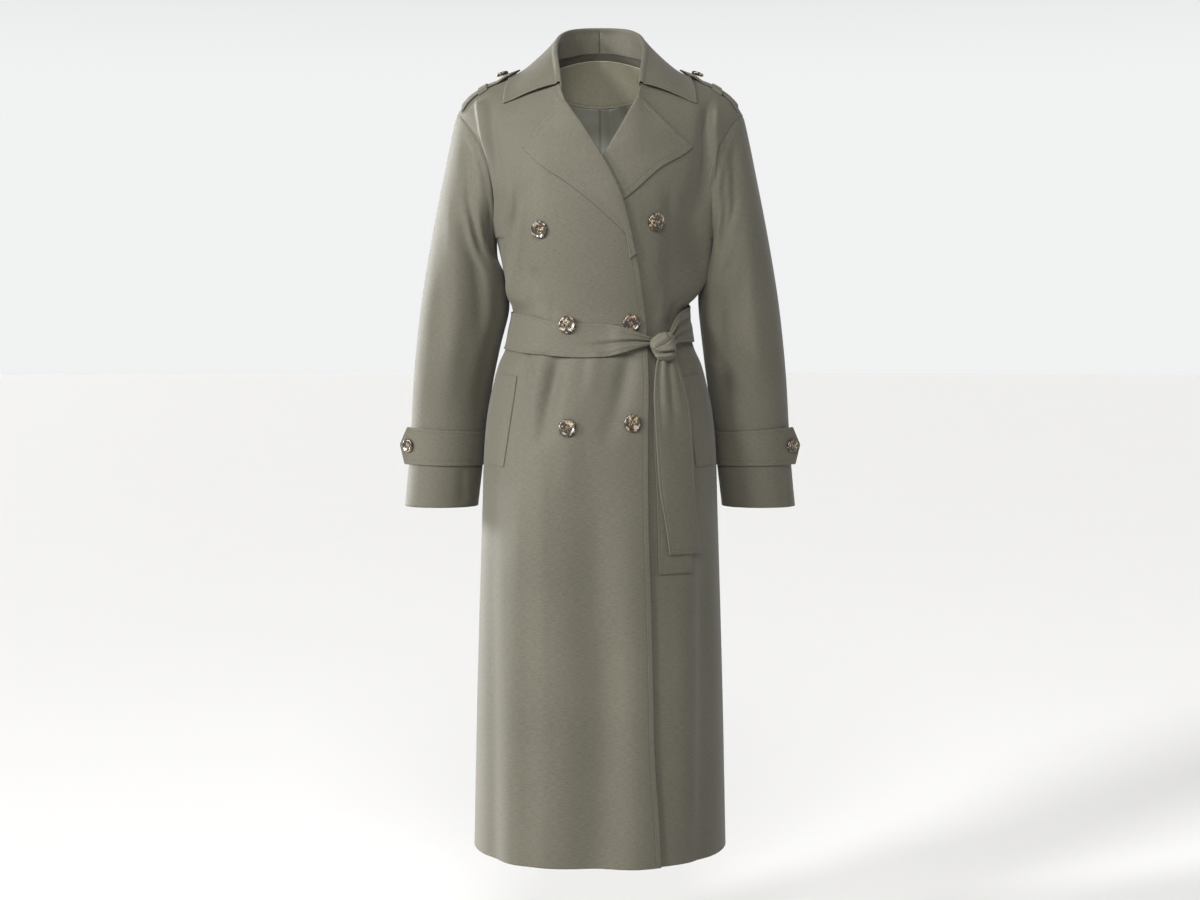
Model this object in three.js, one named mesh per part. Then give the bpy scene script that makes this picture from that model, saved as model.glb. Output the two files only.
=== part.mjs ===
// A knee-length double-breasted trench coat, worn form filled out: millimetres, +Z up, front faces -Y.
// The origin lies on the middle plane at the height of the neck points, between front and back.
import * as THREE from "three";

// Driving sizes of the cloth and of what is sewn on it.
const WALL = 1.5;
const SEAM = 0.2;
const HEM_Z = -1141;
const ARMPIT_Z = -251;
const NECK_X = 75;
const SQUARE = 2.2;
const SHOULDER_ROUND = 170;
const LAP_RISE = 5.4;
const LAPEL_RISE = 2.7;
const BELT_WALL = 2.0;
const WELT = { wall: 1.6, rise: 0.7, sweep: 0.31 };
const STRAP = { wall: 1.6, rise: 1.2, tab: 39, tip: 11 };
const EPAULETTE = { wall: 1.8, rise: 1.1, seam: 198, tip: 114, half: 20, point: 14, overCollar: 4.6 };
const KEEPER = { from: 162, to: 174, half: 24, rise: 3.4, wall: 1.4 };
const BUTTON = { radius: 12.5, small: 10, height: 4.2, dish: 1.0, sides: 20 };
const KNOT = { x: 83, z: -406, halfX: 19, halfY: 10.5, halfZ: 22, lean: -0.35 };
const LINING = { inset: 5.2, wall: 1.0, low: -215, half: 118, facingHalf: 98 };

// Grid counts.
const UPPER_ROWS = 12;
const FRONT_COLUMNS = 12;
const BACK_COLUMNS = 20;

// Heights of the rows below the armpit.
const LOWER_ROWS = [-1141, -1035, -925, -820, -725, -650, -590, -540, -500, -466, -438, -420, -408, -385, -362, -350,
  -325, -288];

// Horizontal sections of the body: half width, depth in front of and behind the middle, shift of the middle.
const BODY = [
  { z: -1141, half: 186.5, front: 154, back: 150, mid: 0 },
  { z: -930, half: 181.5, front: 147, back: 144, mid: -3 },
  { z: -781, half: 177, front: 142, back: 140, mid: -5 },
  { z: -633, half: 172, front: 137, back: 136, mid: -8 },
  { z: -550, half: 169, front: 133, back: 131, mid: -8 },
  { z: -502, half: 164, front: 128, back: 125, mid: -8 },
  { z: -465, half: 156.5, front: 122, back: 117, mid: -6 },
  { z: -433, half: 148, front: 116, back: 110, mid: -4 },
  { z: -408, half: 137, front: 112, back: 105, mid: -2 },
  { z: -385, half: 131.5, front: 111, back: 103, mid: -1 },
  { z: -360, half: 127, front: 111, back: 102, mid: 0 },
  { z: -338, half: 130, front: 114, back: 104, mid: 0 },
  { z: -300, half: 138, front: 121, back: 108, mid: 0 },
  { z: -251, half: 149.5, front: 129, back: 113, mid: 0 },
  { z: -205, half: 163, front: 132, back: 117, mid: 1 },
  { z: -160, half: 178, front: 128, back: 120, mid: 2 },
  { z: -120, half: 195, front: 122, back: 119, mid: 3 },
  { z: -90, half: 210, front: 119, back: 117, mid: 4 },
  { z: -70, half: 220, front: 117, back: 114, mid: 4 },
  { z: 0, half: 228, front: 112, back: 107, mid: 5 },
  { z: 70, half: 232, front: 105, back: 98, mid: 6 },
];

// Height of the shoulder line over the distance from the middle.
const SHOULDER = [
  { x: 0, z: 62 }, { x: 25, z: 52 }, { x: 50, z: 30 }, { x: 62, z: 16 }, { x: 75, z: 6 }, { x: 100, z: -6 },
  { x: 118, z: -14 }, { x: 148, z: -24 }, { x: 161, z: -29 }, { x: 177, z: -38 }, { x: 188, z: -46 },
  { x: 199, z: -58 }, { x: 208, z: -72 }, { x: 216, z: -86 },
];

// Armhole seam: distance from the middle at each height.
const ARMHOLE = [
  { z: -251, x: 149.5 }, { z: -240, x: 149 }, { z: -205, x: 150.5 }, { z: -160, x: 157 }, { z: -125, x: 168.5 },
  { z: -105, x: 179.5 }, { z: -88, x: 190 }, { z: -79, x: 197 }, { z: -74, x: 201.5 }, { z: -72, x: 208 },
];

// Free edge of each front, measured from the middle towards its own side: hem, roll line, gorge, neck point.
const RIGHT_EDGE = [
  { z: -1141, x: -84.5 }, { z: -1069, x: -81 }, { z: -990, x: -75.5 }, { z: -890, x: -73 }, { z: -772, x: -70 },
  { z: -654, x: -66.5 }, { z: -522, x: -66 }, { z: -464, x: -67 }, { z: -416, x: -65.5 }, { z: -373, x: -63 },
  { z: -333, x: -58 }, { z: -297, x: -53 }, { z: -261, x: -45 }, { z: -224, x: -36.5 }, { z: -197, x: -28.5 },
  { z: -170, x: -17 }, { z: -148, x: -4 }, { z: -137, x: 2 }, { z: -91, x: 29 }, { z: -59, x: 50 },
  { z: -36, x: 58 }, { z: -14, x: 66 }, { z: 0, x: 72 }, { z: 6, x: 75 },
];
const LEFT_EDGE = [
  { z: -1141, x: -64 }, { z: -522, x: -62 }, { z: -373, x: -60 }, { z: -333, x: -57 }, { z: -297, x: -51 },
  { z: -261, x: -43 }, { z: -224, x: -33 }, { z: -197, x: -24 }, { z: -170, x: -11 }, { z: -148, x: 2 },
  { z: -133, x: 12 }, { z: -98, x: 32 }, { z: -55, x: 53 }, { z: -36, x: 58 }, { z: -14, x: 66 },
  { z: 0, x: 72 }, { z: 6, x: 75 },
];

// Lapels: points on the roll line and across it on the lapel's lower edge, tip first and break last.
const RIGHT_LAPEL = [
  { rollX: 51, rollZ: -61, edgeX: 109, edgeZ: -125 }, { rollX: 41, rollZ: -77, edgeX: 98, edgeZ: -138 },
  { rollX: 24, rollZ: -101, edgeX: 78, edgeZ: -156 }, { rollX: 2, rollZ: -137, edgeX: 46, edgeZ: -178 },
  { rollX: -14, rollZ: -165, edgeX: 14, edgeZ: -203 }, { rollX: -28.5, rollZ: -197, edgeX: -11, edgeZ: -225 },
  { rollX: -40, rollZ: -238, edgeX: -34, edgeZ: -248 }, { rollX: -48.5, rollZ: -276, edgeX: -46, edgeZ: -278 },
];
const LEFT_LAPEL = [
  { rollX: 54, rollZ: -57, edgeX: 129, edgeZ: -126 }, { rollX: 44, rollZ: -75, edgeX: 113, edgeZ: -139 },
  { rollX: 27, rollZ: -106, edgeX: 82, edgeZ: -158 }, { rollX: 5, rollZ: -143, edgeX: 49, edgeZ: -188 },
  { rollX: -11, rollZ: -170, edgeX: 18, edgeZ: -213 }, { rollX: -24, rollZ: -197, edgeX: -7, edgeZ: -232 },
  { rollX: -37, rollZ: -238, edgeX: -31, edgeZ: -252 }, { rollX: -46, rollZ: -276, edgeX: -44, edgeZ: -278 },
];

// Collar from the gorge to the middle of the back: fold line at the top, neck seam, outer edge of the leaf.
const COLLAR = [
  { rollX: 56.5, rollY: -82.5, rollZ: -34, neckX: 57, neckZ: -40, edgeX: 138, edgeY: -60, edgeZ: -62 },
  { rollX: 58.5, rollY: -68, rollZ: -16, neckX: 62, neckZ: -24, edgeX: 136, edgeY: -40, edgeZ: -40 },
  { rollX: 61, rollY: -46, rollZ: 2, neckX: 69.5, neckZ: -6, edgeX: 131, edgeY: -16, edgeZ: -23 },
  { rollX: 63, rollY: -22, rollZ: 19, neckX: 73.5, neckZ: 2.5, edgeX: 125, edgeY: 8, edgeZ: -17 },
  { rollX: 62, rollY: 2, rollZ: 34, neckX: 75, neckZ: 6, edgeX: 114, edgeY: 36, edgeZ: -14 },
  { rollX: 56, rollY: 27, rollZ: 48, neckX: 68, neckZ: 9.9, edgeX: 92, edgeY: 66, edgeZ: -13 },
  { rollX: 43, rollY: 46, rollZ: 57, neckX: 50, neckZ: 18.2, edgeX: 62, edgeY: 84, edgeZ: -13 },
  { rollX: 22, rollY: 57, rollZ: 61, neckX: 25, neckZ: 25.5, edgeX: 31, edgeY: 92, edgeZ: -13 },
  { rollX: 0, rollY: 61, rollZ: 62, neckX: 0, neckZ: 28, edgeX: 0, edgeY: 95, edgeZ: -13 },
];

// Sleeve stations down the arm: outer and inner ends of each section, its middle and half depth.
const SLEEVE = [
  { outX: 208.5, outZ: -72.2, inX: 150, inZ: -251.2, mid: 2, depth: 62, loop: 1 },
  { outX: 213, outZ: -90, inX: 151, inZ: -257, mid: 2, depth: 63, loop: 0.86 },
  { outX: 220, outZ: -122, inX: 150.5, inZ: -267, mid: 3, depth: 64, loop: 0.62 },
  { outX: 229, outZ: -166, inX: 148.5, inZ: -282, mid: 4, depth: 65, loop: 0.36 },
  { outX: 240, outZ: -220, inX: 145, inZ: -301, mid: 5, depth: 65, loop: 0.15 },
  { outX: 251, outZ: -278, inX: 141, inZ: -324, mid: 7, depth: 63, loop: 0.03 },
  { outX: 261.5, outZ: -340, inX: 139.5, inZ: -356, mid: 10, depth: 60, loop: 0 },
  { outX: 269.5, outZ: -402, inX: 148, inZ: -407, mid: 15, depth: 57, loop: 0 },
  { outX: 275.5, outZ: -462, inX: 158.5, inZ: -464, mid: 21, depth: 54, loop: 0 },
  { outX: 280, outZ: -526, inX: 169, inZ: -533, mid: 28, depth: 50, loop: 0 },
  { outX: 284.5, outZ: -584, inX: 174.5, inZ: -585, mid: 32, depth: 48, loop: 0 },
  { outX: 290.5, outZ: -643, inX: 181.5, inZ: -643, mid: 34, depth: 46, loop: 0 },
];
const SLEEVE_STATIONS = [0, 0.35, 0.8, 1.4, 2.1, 2.9, 3.8, 4.7, 5.6, 6.5, 7.5, 8.6, 9.8, 11];

// Belt edges over the front, left to right as seen from the front, and over the back.
const BELT_FRONT = [
  { x: -133, top: -358, low: -410 }, { x: -100, top: -364, low: -416 }, { x: -60, top: -372, low: -421 },
  { x: -20, top: -375, low: -423 }, { x: 7, top: -376, low: -422 }, { x: 29, top: -380, low: -417 },
  { x: 46, top: -386, low: -411 }, { x: 66, top: -395, low: -406 }, { x: 84, top: -396, low: -408 },
  { x: 93, top: -384, low: -406 }, { x: 106, top: -364, low: -402 }, { x: 120, top: -354, low: -401 },
  { x: 136, top: -346, low: -400 },
];
const BELT_BACK = [
  { x: -136, top: -357, low: -409 }, { x: 0, top: -349, low: -399 }, { x: 136, top: -346, low: -399 },
];
const BELT_RISE = [
  { x: -140, rise: 0.9 }, { x: -112, rise: 1.6 }, { x: -76, rise: 6.6 }, { x: 8, rise: 6.8 },
  { x: 28, rise: 11 }, { x: 92, rise: 11.4 }, { x: 118, rise: 4.4 }, { x: 140, rise: 0.7 },
];

// Hanging ends of the belt: edges at each height and how far they stand off the front.
const TAIL_FRONT = [
  { z: -431, left: 74, right: 102, rise: 13 }, { z: -452, left: 74, right: 110, rise: 8.5 },
  { z: -478, left: 74, right: 120, rise: 4.6 }, { z: -500, left: 75, right: 124, rise: 4.2 },
  { z: -550, left: 78, right: 127.5, rise: 4 }, { z: -606, left: 82, right: 131, rise: 4 },
  { z: -654, left: 90, right: 136.5, rise: 4 }, { z: -698, left: 96, right: 142, rise: 4 },
];
const TAIL_BACK = [
  { z: -446, left: 78, right: 104, rise: 0.9 }, { z: -500, left: 76, right: 120, rise: 0.9 },
  { z: -550, left: 76, right: 124, rise: 0.9 }, { z: -606, left: 79, right: 127, rise: 0.9 },
  { z: -668, left: 81, right: 129, rise: 0.9 }, { z: -725, left: 82, right: 129.5, rise: 0.9 },
];

// Front buttons: place on the front and how far their back stands off it.
const FRONT_BUTTONS = [
  { name: "button_top_right", x: -82, z: -242, rise: 0.5 },
  { name: "button_top_left", x: 78, z: -232, rise: 0.5 },
  { name: "button_waist_right", x: -43.5, z: -376.5, rise: 4 },
  { name: "button_waist_left", x: 42.5, z: -374, rise: 0.5 },
  { name: "button_low_right", x: -44, z: -520, rise: 0.5 },
  { name: "button_low_left", x: 44.5, z: -513.5, rise: 0.1 },
];

// Largest folds of the fronts and of the back: line from top to bottom, width, depth out of the cloth.
const FRONT_FOLDS = [
  { topX: -57, topZ: -420, lowX: -84, lowZ: -560, width: 12, depth: -5 },
  { topX: -38, topZ: -420, lowX: -48, lowZ: -640, width: 18, depth: 2.5 },
  { topX: 35, topZ: -425, lowX: 5, lowZ: -560, width: 15, depth: -3 },
  { topX: -158, topZ: -60, lowX: -128, lowZ: -335, width: 9, depth: -3.5 },
  { topX: 158, topZ: -60, lowX: 138, lowZ: -300, width: 10, depth: -4 },
  { topX: -120, topZ: -170, lowX: -112, lowZ: -350, width: 12, depth: -3 },
  { topX: -92, topZ: -290, lowX: -80, lowZ: -360, width: 10, depth: -2.5 },
  { topX: 112, topZ: -180, lowX: 96, lowZ: -350, width: 14, depth: -3 },
  { topX: -105, topZ: -640, lowX: -98, lowZ: -1180, width: 30, depth: -5 },
  { topX: 112, topZ: -700, lowX: 118, lowZ: -1180, width: 22, depth: 4.5 },
  { topX: 152, topZ: -560, lowX: 158, lowZ: -1180, width: 16, depth: -4 },
  { topX: 20, topZ: -760, lowX: 26, lowZ: -1180, width: 26, depth: -3 },
];
const BACK_FOLDS = [
  { topX: 0, topZ: -440, lowX: 4, lowZ: -700, width: 20, depth: -4 },
  { topX: -78, topZ: -425, lowX: -92, lowZ: -640, width: 16, depth: -5 },
  { topX: 84, topZ: -425, lowX: 100, lowZ: -600, width: 17, depth: -4.5 },
  { topX: -52, topZ: -700, lowX: -58, lowZ: -1180, width: 30, depth: 5 },
  { topX: 60, topZ: -650, lowX: 66, lowZ: -1180, width: 26, depth: -5 },
  { topX: -108, topZ: -170, lowX: -92, lowZ: -345, width: 14, depth: -4 },
  { topX: 110, topZ: -190, lowX: 90, lowZ: -345, width: 15, depth: -4 },
];

const clamp = (v, a, b) => Math.min(b, Math.max(a, v));
const mix = (a, b, t) => a + (b - a) * t;
const ease = (a, b, v) => {
  const t = clamp((v - a) / (b - a), 0, 1);
  return t * t * (3 - 2 * t);
};
const vec = (x, y, z) => new THREE.Vector3(x, y, z);

// Smooth value of one named column over another, through the rows of a table in rising order.
function column(rows, key, name, at) {
  const v = clamp(at, rows[0][key], rows[rows.length - 1][key]);
  let i = 0;
  while (i < rows.length - 2 && v > rows[i + 1][key]) i += 1;
  const slope = (j) => {
    const a = rows[Math.max(j - 1, 0)];
    const b = rows[Math.min(j + 1, rows.length - 1)];
    return (b[name] - a[name]) / (b[key] - a[key]);
  };
  const [p, q] = [rows[i], rows[i + 1]];
  const h = q[key] - p[key];
  const t = (v - p[key]) / h;
  const [t2, t3] = [t * t, t * t * t];
  return (2 * t3 - 3 * t2 + 1) * p[name] + (t3 - 2 * t2 + t) * h * slope(i)
    + (3 * t2 - 2 * t3) * q[name] + (t3 - t2) * h * slope(i + 1);
}

// Rows of a table read by their place in it, whole or between two rows.
function station(rows, name, at) {
  const indexed = rows.map((row, i) => ({ i, v: row[name] }));
  return column(indexed, "i", "v", at);
}

const halfWidth = (z) => column(BODY, "z", "half", z);
const shoulderZ = (x) => column(SHOULDER, "x", "z", Math.abs(x));
const armholeX = (z) => column(ARMHOLE, "z", "x", z);
const angleAt = (x, z) => Math.asin(clamp(x / halfWidth(z), -1, 1));
const profile = (a) => Math.pow(Math.max(0, 1 - Math.pow(Math.abs(Math.sin(a)), SQUARE)), 1 / SQUARE);

// Point of the plain body at an angle from the middle line and a height: side -1 is the front, 1 the back.
function bodyBase(angle, z, side) {
  const x = halfWidth(z) * Math.sin(angle);
  const drop = clamp((shoulderZ(x) - z) / SHOULDER_ROUND, 0, 1);
  const round = Math.sqrt(1 - (1 - drop) * (1 - drop));
  const depth = column(BODY, "z", side < 0 ? "front" : "back", z);
  return vec(x, column(BODY, "z", "mid", z) + side * depth * profile(angle) * round, z);
}

function bodyNormal(angle, z, side) {
  const [da, dz] = [0.01, 1.5];
  const a = clamp(angle, -Math.PI / 2 + da, Math.PI / 2 - da);
  const low = bodyBase(a, z - dz, side);
  const high = bodyBase(a, z + dz, side);
  const across = bodyBase(a + da, z, side).sub(bodyBase(a - da, z, side));
  const n = across.cross(high.sub(low)).normalize();
  return n.y * side < 0 || (Math.abs(n.y) < 1e-6 && n.x * Math.sin(angle) < 0) ? n.negate() : n;
}

// Depth of the folds at a place, fading out at the seams.
function foldDepth(folds, angle, x, z) {
  let depth = 0;
  for (const f of folds) {
    const t = (f.topZ - z) / (f.topZ - f.lowZ);
    const away = (x - mix(f.topX, f.lowX, t)) / f.width;
    depth += f.depth * Math.exp(-away * away) * ease(0, 0.22, t) * ease(1, 0.7, t);
  }
  const shoulder = ease(6, 40, shoulderZ(x) - z);
  const side = ease(Math.PI / 2, Math.PI / 2 - 0.2, Math.abs(angle));
  const arm = z > ARMPIT_Z ? ease(2, 20, armholeX(z) - Math.abs(x)) : 1;
  return depth * shoulder * side * arm;
}

// Lift of the right front where it lies over the left one.
function lapRise(x, z) {
  return LAP_RISE * ease(-108, -74, x) * ease(-96, -140, z);
}

// Point of the cloth's outer face, moved out by a distance; lapped is true on the right front.
function skin(angle, z, side, out, lapped) {
  const base = bodyBase(angle, z, side);
  const folds = side < 0 ? FRONT_FOLDS : BACK_FOLDS;
  const rise = foldDepth(folds, angle, base.x, z) + (lapped ? lapRise(base.x, z) : 0);
  return base.addScaledVector(bodyNormal(angle, z, side), rise + out);
}

// Closed wall from a grid of outer points: each point's inner twin lies one wall thickness behind it, on the
// side that the direction away doesn't point to.
const fromBody = (p) => vec(p.x, p.y, Math.max(0, p.z + 200));
const fromShoulder = () => vec(0, 0, 1);
function wall(points, thickness, away, options = {}) {
  const rows = points.length;
  const cols = points[0].length;
  const around = options.around === true;
  const at = (r, c) => points[clamp(r, 0, rows - 1)][around ? (c + cols) % cols : clamp(c, 0, cols - 1)];
  const positions = [];
  const inner = [];
  const normals = [];
  let agree = 0;
  for (let r = 0; r < rows; r += 1) {
    for (let c = 0; c < cols; c += 1) {
      const p = at(r, c);
      const across = at(r, c + 1).clone().sub(at(r, c - 1));
      const along = at(r + 1, c).clone().sub(at(r - 1, c));
      const n = across.cross(along).normalize();
      agree += n.dot(away(p));
      normals.push(n);
      positions.push(p.x, p.y, p.z);
    }
  }
  const turn = agree < 0 ? -1 : 1;
  normals.forEach((n, i) => {
    const p = at(Math.floor(i / cols), i % cols);
    if (options.seam && options.seam(Math.floor(i / cols), i % cols, p)) n.setY(0).normalize();
    inner.push(p.x - turn * n.x * thickness, p.y - turn * n.y * thickness, p.z - turn * n.z * thickness);
  });
  const total = rows * cols;
  positions.push(...inner);
  const faces = [];
  const quad = (a, b, c, d) => faces.push(a, b, c, a, c, d);
  const id = (r, c) => r * cols + ((c + cols) % cols);
  const span = around ? cols : cols - 1;
  for (let r = 0; r < rows - 1; r += 1) {
    for (let c = 0; c < span; c += 1) {
      const [a, b, d, e] = [id(r, c), id(r, c + 1), id(r + 1, c + 1), id(r + 1, c)];
      quad(a, b, d, e);
      quad(total + e, total + d, total + b, total + a);
    }
  }
  for (let c = 0; c < span; c += 1) {
    quad(id(0, c + 1), id(0, c), total + id(0, c), total + id(0, c + 1));
    quad(id(rows - 1, c), id(rows - 1, c + 1), total + id(rows - 1, c + 1), total + id(rows - 1, c));
  }
  if (!around) {
    for (let r = 0; r < rows - 1; r += 1) {
      quad(id(r, 0), id(r + 1, 0), total + id(r + 1, 0), total + id(r, 0));
      quad(id(r + 1, cols - 1), id(r, cols - 1), total + id(r, cols - 1), total + id(r + 1, cols - 1));
    }
  }
  return solid(positions, faces);
}

// Geometry from corner points and triangles, turned so that its faces look outward.
function solid(positions, faces) {
  let volume = 0;
  const p = (i) => vec(positions[3 * i], positions[3 * i + 1], positions[3 * i + 2]);
  for (let i = 0; i < faces.length; i += 3) {
    volume += p(faces[i]).dot(p(faces[i + 1]).cross(p(faces[i + 2])));
  }
  if (volume < 0) {
    for (let i = 0; i < faces.length; i += 3) [faces[i + 1], faces[i + 2]] = [faces[i + 2], faces[i + 1]];
  }
  const geometry = new THREE.BufferGeometry();
  geometry.setAttribute("position", new THREE.Float32BufferAttribute(positions, 3));
  geometry.setIndex(faces);
  geometry.computeVertexNormals();
  return geometry;
}

const CLOTH = new THREE.MeshStandardMaterial({ color: 0x6f6a58, roughness: 0.85 });
const LINING_CLOTH = new THREE.MeshStandardMaterial({ color: 0x6b7070, roughness: 0.5 });
const SHELL = new THREE.MeshStandardMaterial({ color: 0xa08562, roughness: 0.3 });

function piece(parent, name, geometry, material = CLOTH) {
  const mesh = new THREE.Mesh(geometry, material);
  mesh.name = name;
  parent.add(mesh);
  return mesh;
}

// Heights up a panel: rows below the armpit, then rows that crowd towards the armpit and the shoulder.
const upperPart = (k) => (1 - Math.cos((Math.PI * k) / UPPER_ROWS)) / 2;
const PANEL_ROWS = [
  ...LOWER_ROWS.map((z) => ({ z, up: null })),
  ...Array.from({ length: UPPER_ROWS + 1 }, (_, k) => ({ z: null, up: upperPart(k) })),
];
const upTo = (top, up) => ARMPIT_Z + up * (top - ARMPIT_Z);

// Front panel of one side; own is -1 for the right front, 1 for the left.
function frontPanel(own, edge, lapped) {
  const points = PANEL_ROWS.map((row, r) => {
    const armZ = row.up === null ? row.z : upTo(shoulderZ(208), row.up);
    const edgeZ = row.up === null ? row.z : upTo(shoulderZ(NECK_X), row.up);
    const from = row.up === null ? Math.PI / 2 : angleAt(armholeX(armZ), armZ);
    const to = angleAt(column(edge, "z", "x", edgeZ), edgeZ);
    const line = [];
    for (let c = 0; c <= FRONT_COLUMNS; c += 1) {
      const t = c / FRONT_COLUMNS;
      const angle = mix(Math.PI / 2, to, t) - (Math.PI / 2 - from) * (1 - t) * (1 - t);
      let z = mix(armZ, edgeZ, t);
      if (row.up !== null) {
        for (let k = 0; k < 3; k += 1) {
          const x = halfWidth(z) * Math.sin(angle);
          z = mix(z, upTo(shoulderZ(Math.max(x, NECK_X * row.up)), row.up), t === 0 || t === 1 ? 0 : 1);
        }
      }
      const p = skin(own * angle, z, -1, 0, lapped);
      if (c === 0 || r === PANEL_ROWS.length - 1) p.y -= SEAM;
      line.push(p);
    }
    return line;
  });
  const last = PANEL_ROWS.length - 1;
  return wall(points, WALL, fromBody, { seam: (r, c) => r === last || (c === 0 && r <= LOWER_ROWS.length) });
}

const backNeckZ = (x) => 28 - 22 * (x / NECK_X) * (x / NECK_X);
const backTop = (x) => (Math.abs(x) < NECK_X ? backNeckZ(x) : shoulderZ(x));

function backPanel() {
  const points = PANEL_ROWS.map((row, r) => {
    const armZ = row.up === null ? row.z : upTo(shoulderZ(208), row.up);
    const from = row.up === null ? Math.PI / 2 : angleAt(armholeX(armZ), armZ);
    const line = [];
    for (let c = 0; c <= BACK_COLUMNS; c += 1) {
      const across = (2 * c) / BACK_COLUMNS - 1;
      const drawnIn = (Math.PI / 2 - from) * Math.pow(Math.abs(across), 2.2);
      const angle = (Math.PI / 2) * across - Math.sign(across) * drawnIn;
      let z = armZ;
      if (row.up !== null && c > 0 && c < BACK_COLUMNS) {
        for (let k = 0; k < 4; k += 1) z = upTo(backTop(halfWidth(z) * Math.sin(angle)), row.up);
      }
      const p = skin(angle, z, 1, 0, false);
      if (c === 0 || c === BACK_COLUMNS || r === PANEL_ROWS.length - 1) p.y += SEAM;
      line.push(p);
    }
    return line;
  });
  const last = PANEL_ROWS.length - 1;
  return wall(points, WALL, fromBody, {
    seam: (r, c, p) => (r === last && Math.abs(p.x) > NECK_X)
      || ((c === 0 || c === BACK_COLUMNS) && r <= LOWER_ROWS.length),
  });
}

// Sleeve surface at a turn round the arm (0 outer, half a turn inner, front first) and a station down it.
function sleeveBase(turn, s) {
  const read = (name) => station(SLEEVE, name, s);
  const out = vec(read("outX"), 0, read("outZ"));
  const inside = vec(read("inX"), 0, read("inZ"));
  const span = out.clone().sub(inside);
  const normal = vec(-span.z, 0, span.x).normalize();
  const share = (1 + Math.cos(turn)) / 2;
  const front = Math.sin(turn) >= 0;
  const loop = clamp(read("loop"), 0, 1);
  const z = upTo(shoulderZ(208), share);
  const hole = bodyBase(angleAt(armholeX(z), z), z, front ? -1 : 1);
  const top = vec(208, 0, shoulderZ(208));
  const low = vec(149.5, 0, ARMPIT_Z);
  const chord = top.clone().sub(low);
  const chordNormal = vec(-chord.z, 0, chord.x).normalize();
  const rel = vec(hole.x - low.x, 0, hole.z - low.z);
  const along = mix(share, rel.dot(chord) / chord.lengthSq(), loop);
  const bulge = rel.dot(chordNormal) * loop;
  const y = mix(read("mid") - read("depth") * Math.sin(turn), hole.y, loop);
  const p = inside.addScaledVector(span, along).addScaledVector(normal, bulge);
  return p.setY(y);
}

function sleeveNormal(turn, s) {
  const a = sleeveBase(turn + 0.03, s).sub(sleeveBase(turn - 0.03, s));
  const b = sleeveBase(turn, Math.min(s + 0.1, 11)).sub(sleeveBase(turn, Math.max(s - 0.1, 0)));
  const n = b.cross(a).normalize();
  return n.dot(vec(Math.cos(turn), -Math.sin(turn), 0)) < 0 ? n.negate() : n;
}

// Folds of the sleeve: turn at the top and the bottom, stations, width in turn, depth.
const SLEEVE_FOLDS = [
  { topTurn: 1.25, topS: 1.1, lowTurn: 2.05, lowS: 4.6, width: 0.2, depth: -3.5 },
  { topTurn: 1.7, topS: 4.0, lowTurn: 2.2, lowS: 7.0, width: 0.2, depth: -3 },
  { topTurn: -1.3, topS: 1.5, lowTurn: -2.0, lowS: 5.2, width: 0.24, depth: -3.5 },
  { topTurn: -1.9, topS: 4.6, lowTurn: -1.5, lowS: 8.4, width: 0.22, depth: -3 },
];
function sleeveSkin(turn, s, out) {
  let rise = out;
  for (const f of SLEEVE_FOLDS) {
    const t = (s - f.topS) / (f.lowS - f.topS);
    const away = (turn - mix(f.topTurn, f.lowTurn, t)) / f.width;
    rise += f.depth * Math.exp(-away * away) * ease(0, 0.25, t) * ease(1, 0.75, t);
  }
  return sleeveBase(turn, s).addScaledVector(sleeveNormal(turn, s), rise);
}

// Direction from the middle line of a sleeve, and the mirror of rows of points for the other side.
const fromArm = (own, p) => vec(p.x - own * 228, p.y - 20, 0);
const mirrored = (points, own) => points.map((line) => line.map((p) => vec(own * p.x, p.y, p.z)));

function sleeve(own) {
  const n = 2 * UPPER_ROWS;
  const points = SLEEVE_STATIONS.map((s) => {
    const line = [];
    for (let k = 0; k < n; k += 1) {
      const turn = (Math.PI * k) / UPPER_ROWS;
      const signed = turn > Math.PI ? turn - 2 * Math.PI : turn;
      const p = s === 0 ? sleeveBase(signed, 0).add(vec(0.35, 0, -0.12)) : sleeveSkin(signed, s, 0);
      line.push(p);
    }
    return line;
  });
  return wall(mirrored(points, own), WALL, (p) => fromArm(own, p), { around: true });
}

// Strap round the cuff with a pointed end that stands off at the outer edge.
const STRAP_END = 0.87;
function strapPoint(t, across, out) {
  const low = mix(9.0, 9.93, across);
  const turns = mix(-0.7, STRAP_END - 2 * Math.PI, Math.min(t, 1));
  const signed = turns < -Math.PI ? turns + 2 * Math.PI : turns;
  const p = sleeveSkin(signed, low, out);
  if (t <= 1) return p;
  const ahead = sleeveBase(STRAP_END - 0.05, low).sub(sleeveBase(STRAP_END + 0.05, low)).normalize();
  return p.addScaledVector(ahead, (t - 1) * STRAP.tab);
}
function cuffStrap(own) {
  const along = [];
  for (let k = 0; k <= 26; k += 1) along.push(k / 26);
  for (const d of [0.25, 0.5, (STRAP.tab - STRAP.tip) / STRAP.tab, 0.87, 1]) along.push(1 + d);
  const points = [0, 0.33, 0.67, 1].map((across) => along.map((t) => {
    const end = clamp(((t - 1) * STRAP.tab - (STRAP.tab - STRAP.tip)) / STRAP.tip, 0, 1);
    const narrowed = mix(across, 0.48, end * 0.93);
    return strapPoint(t, narrowed, STRAP.rise + STRAP.wall);
  }));
  return wall(mirrored(points, own), STRAP.wall, (p) => fromArm(own, p));
}

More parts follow.
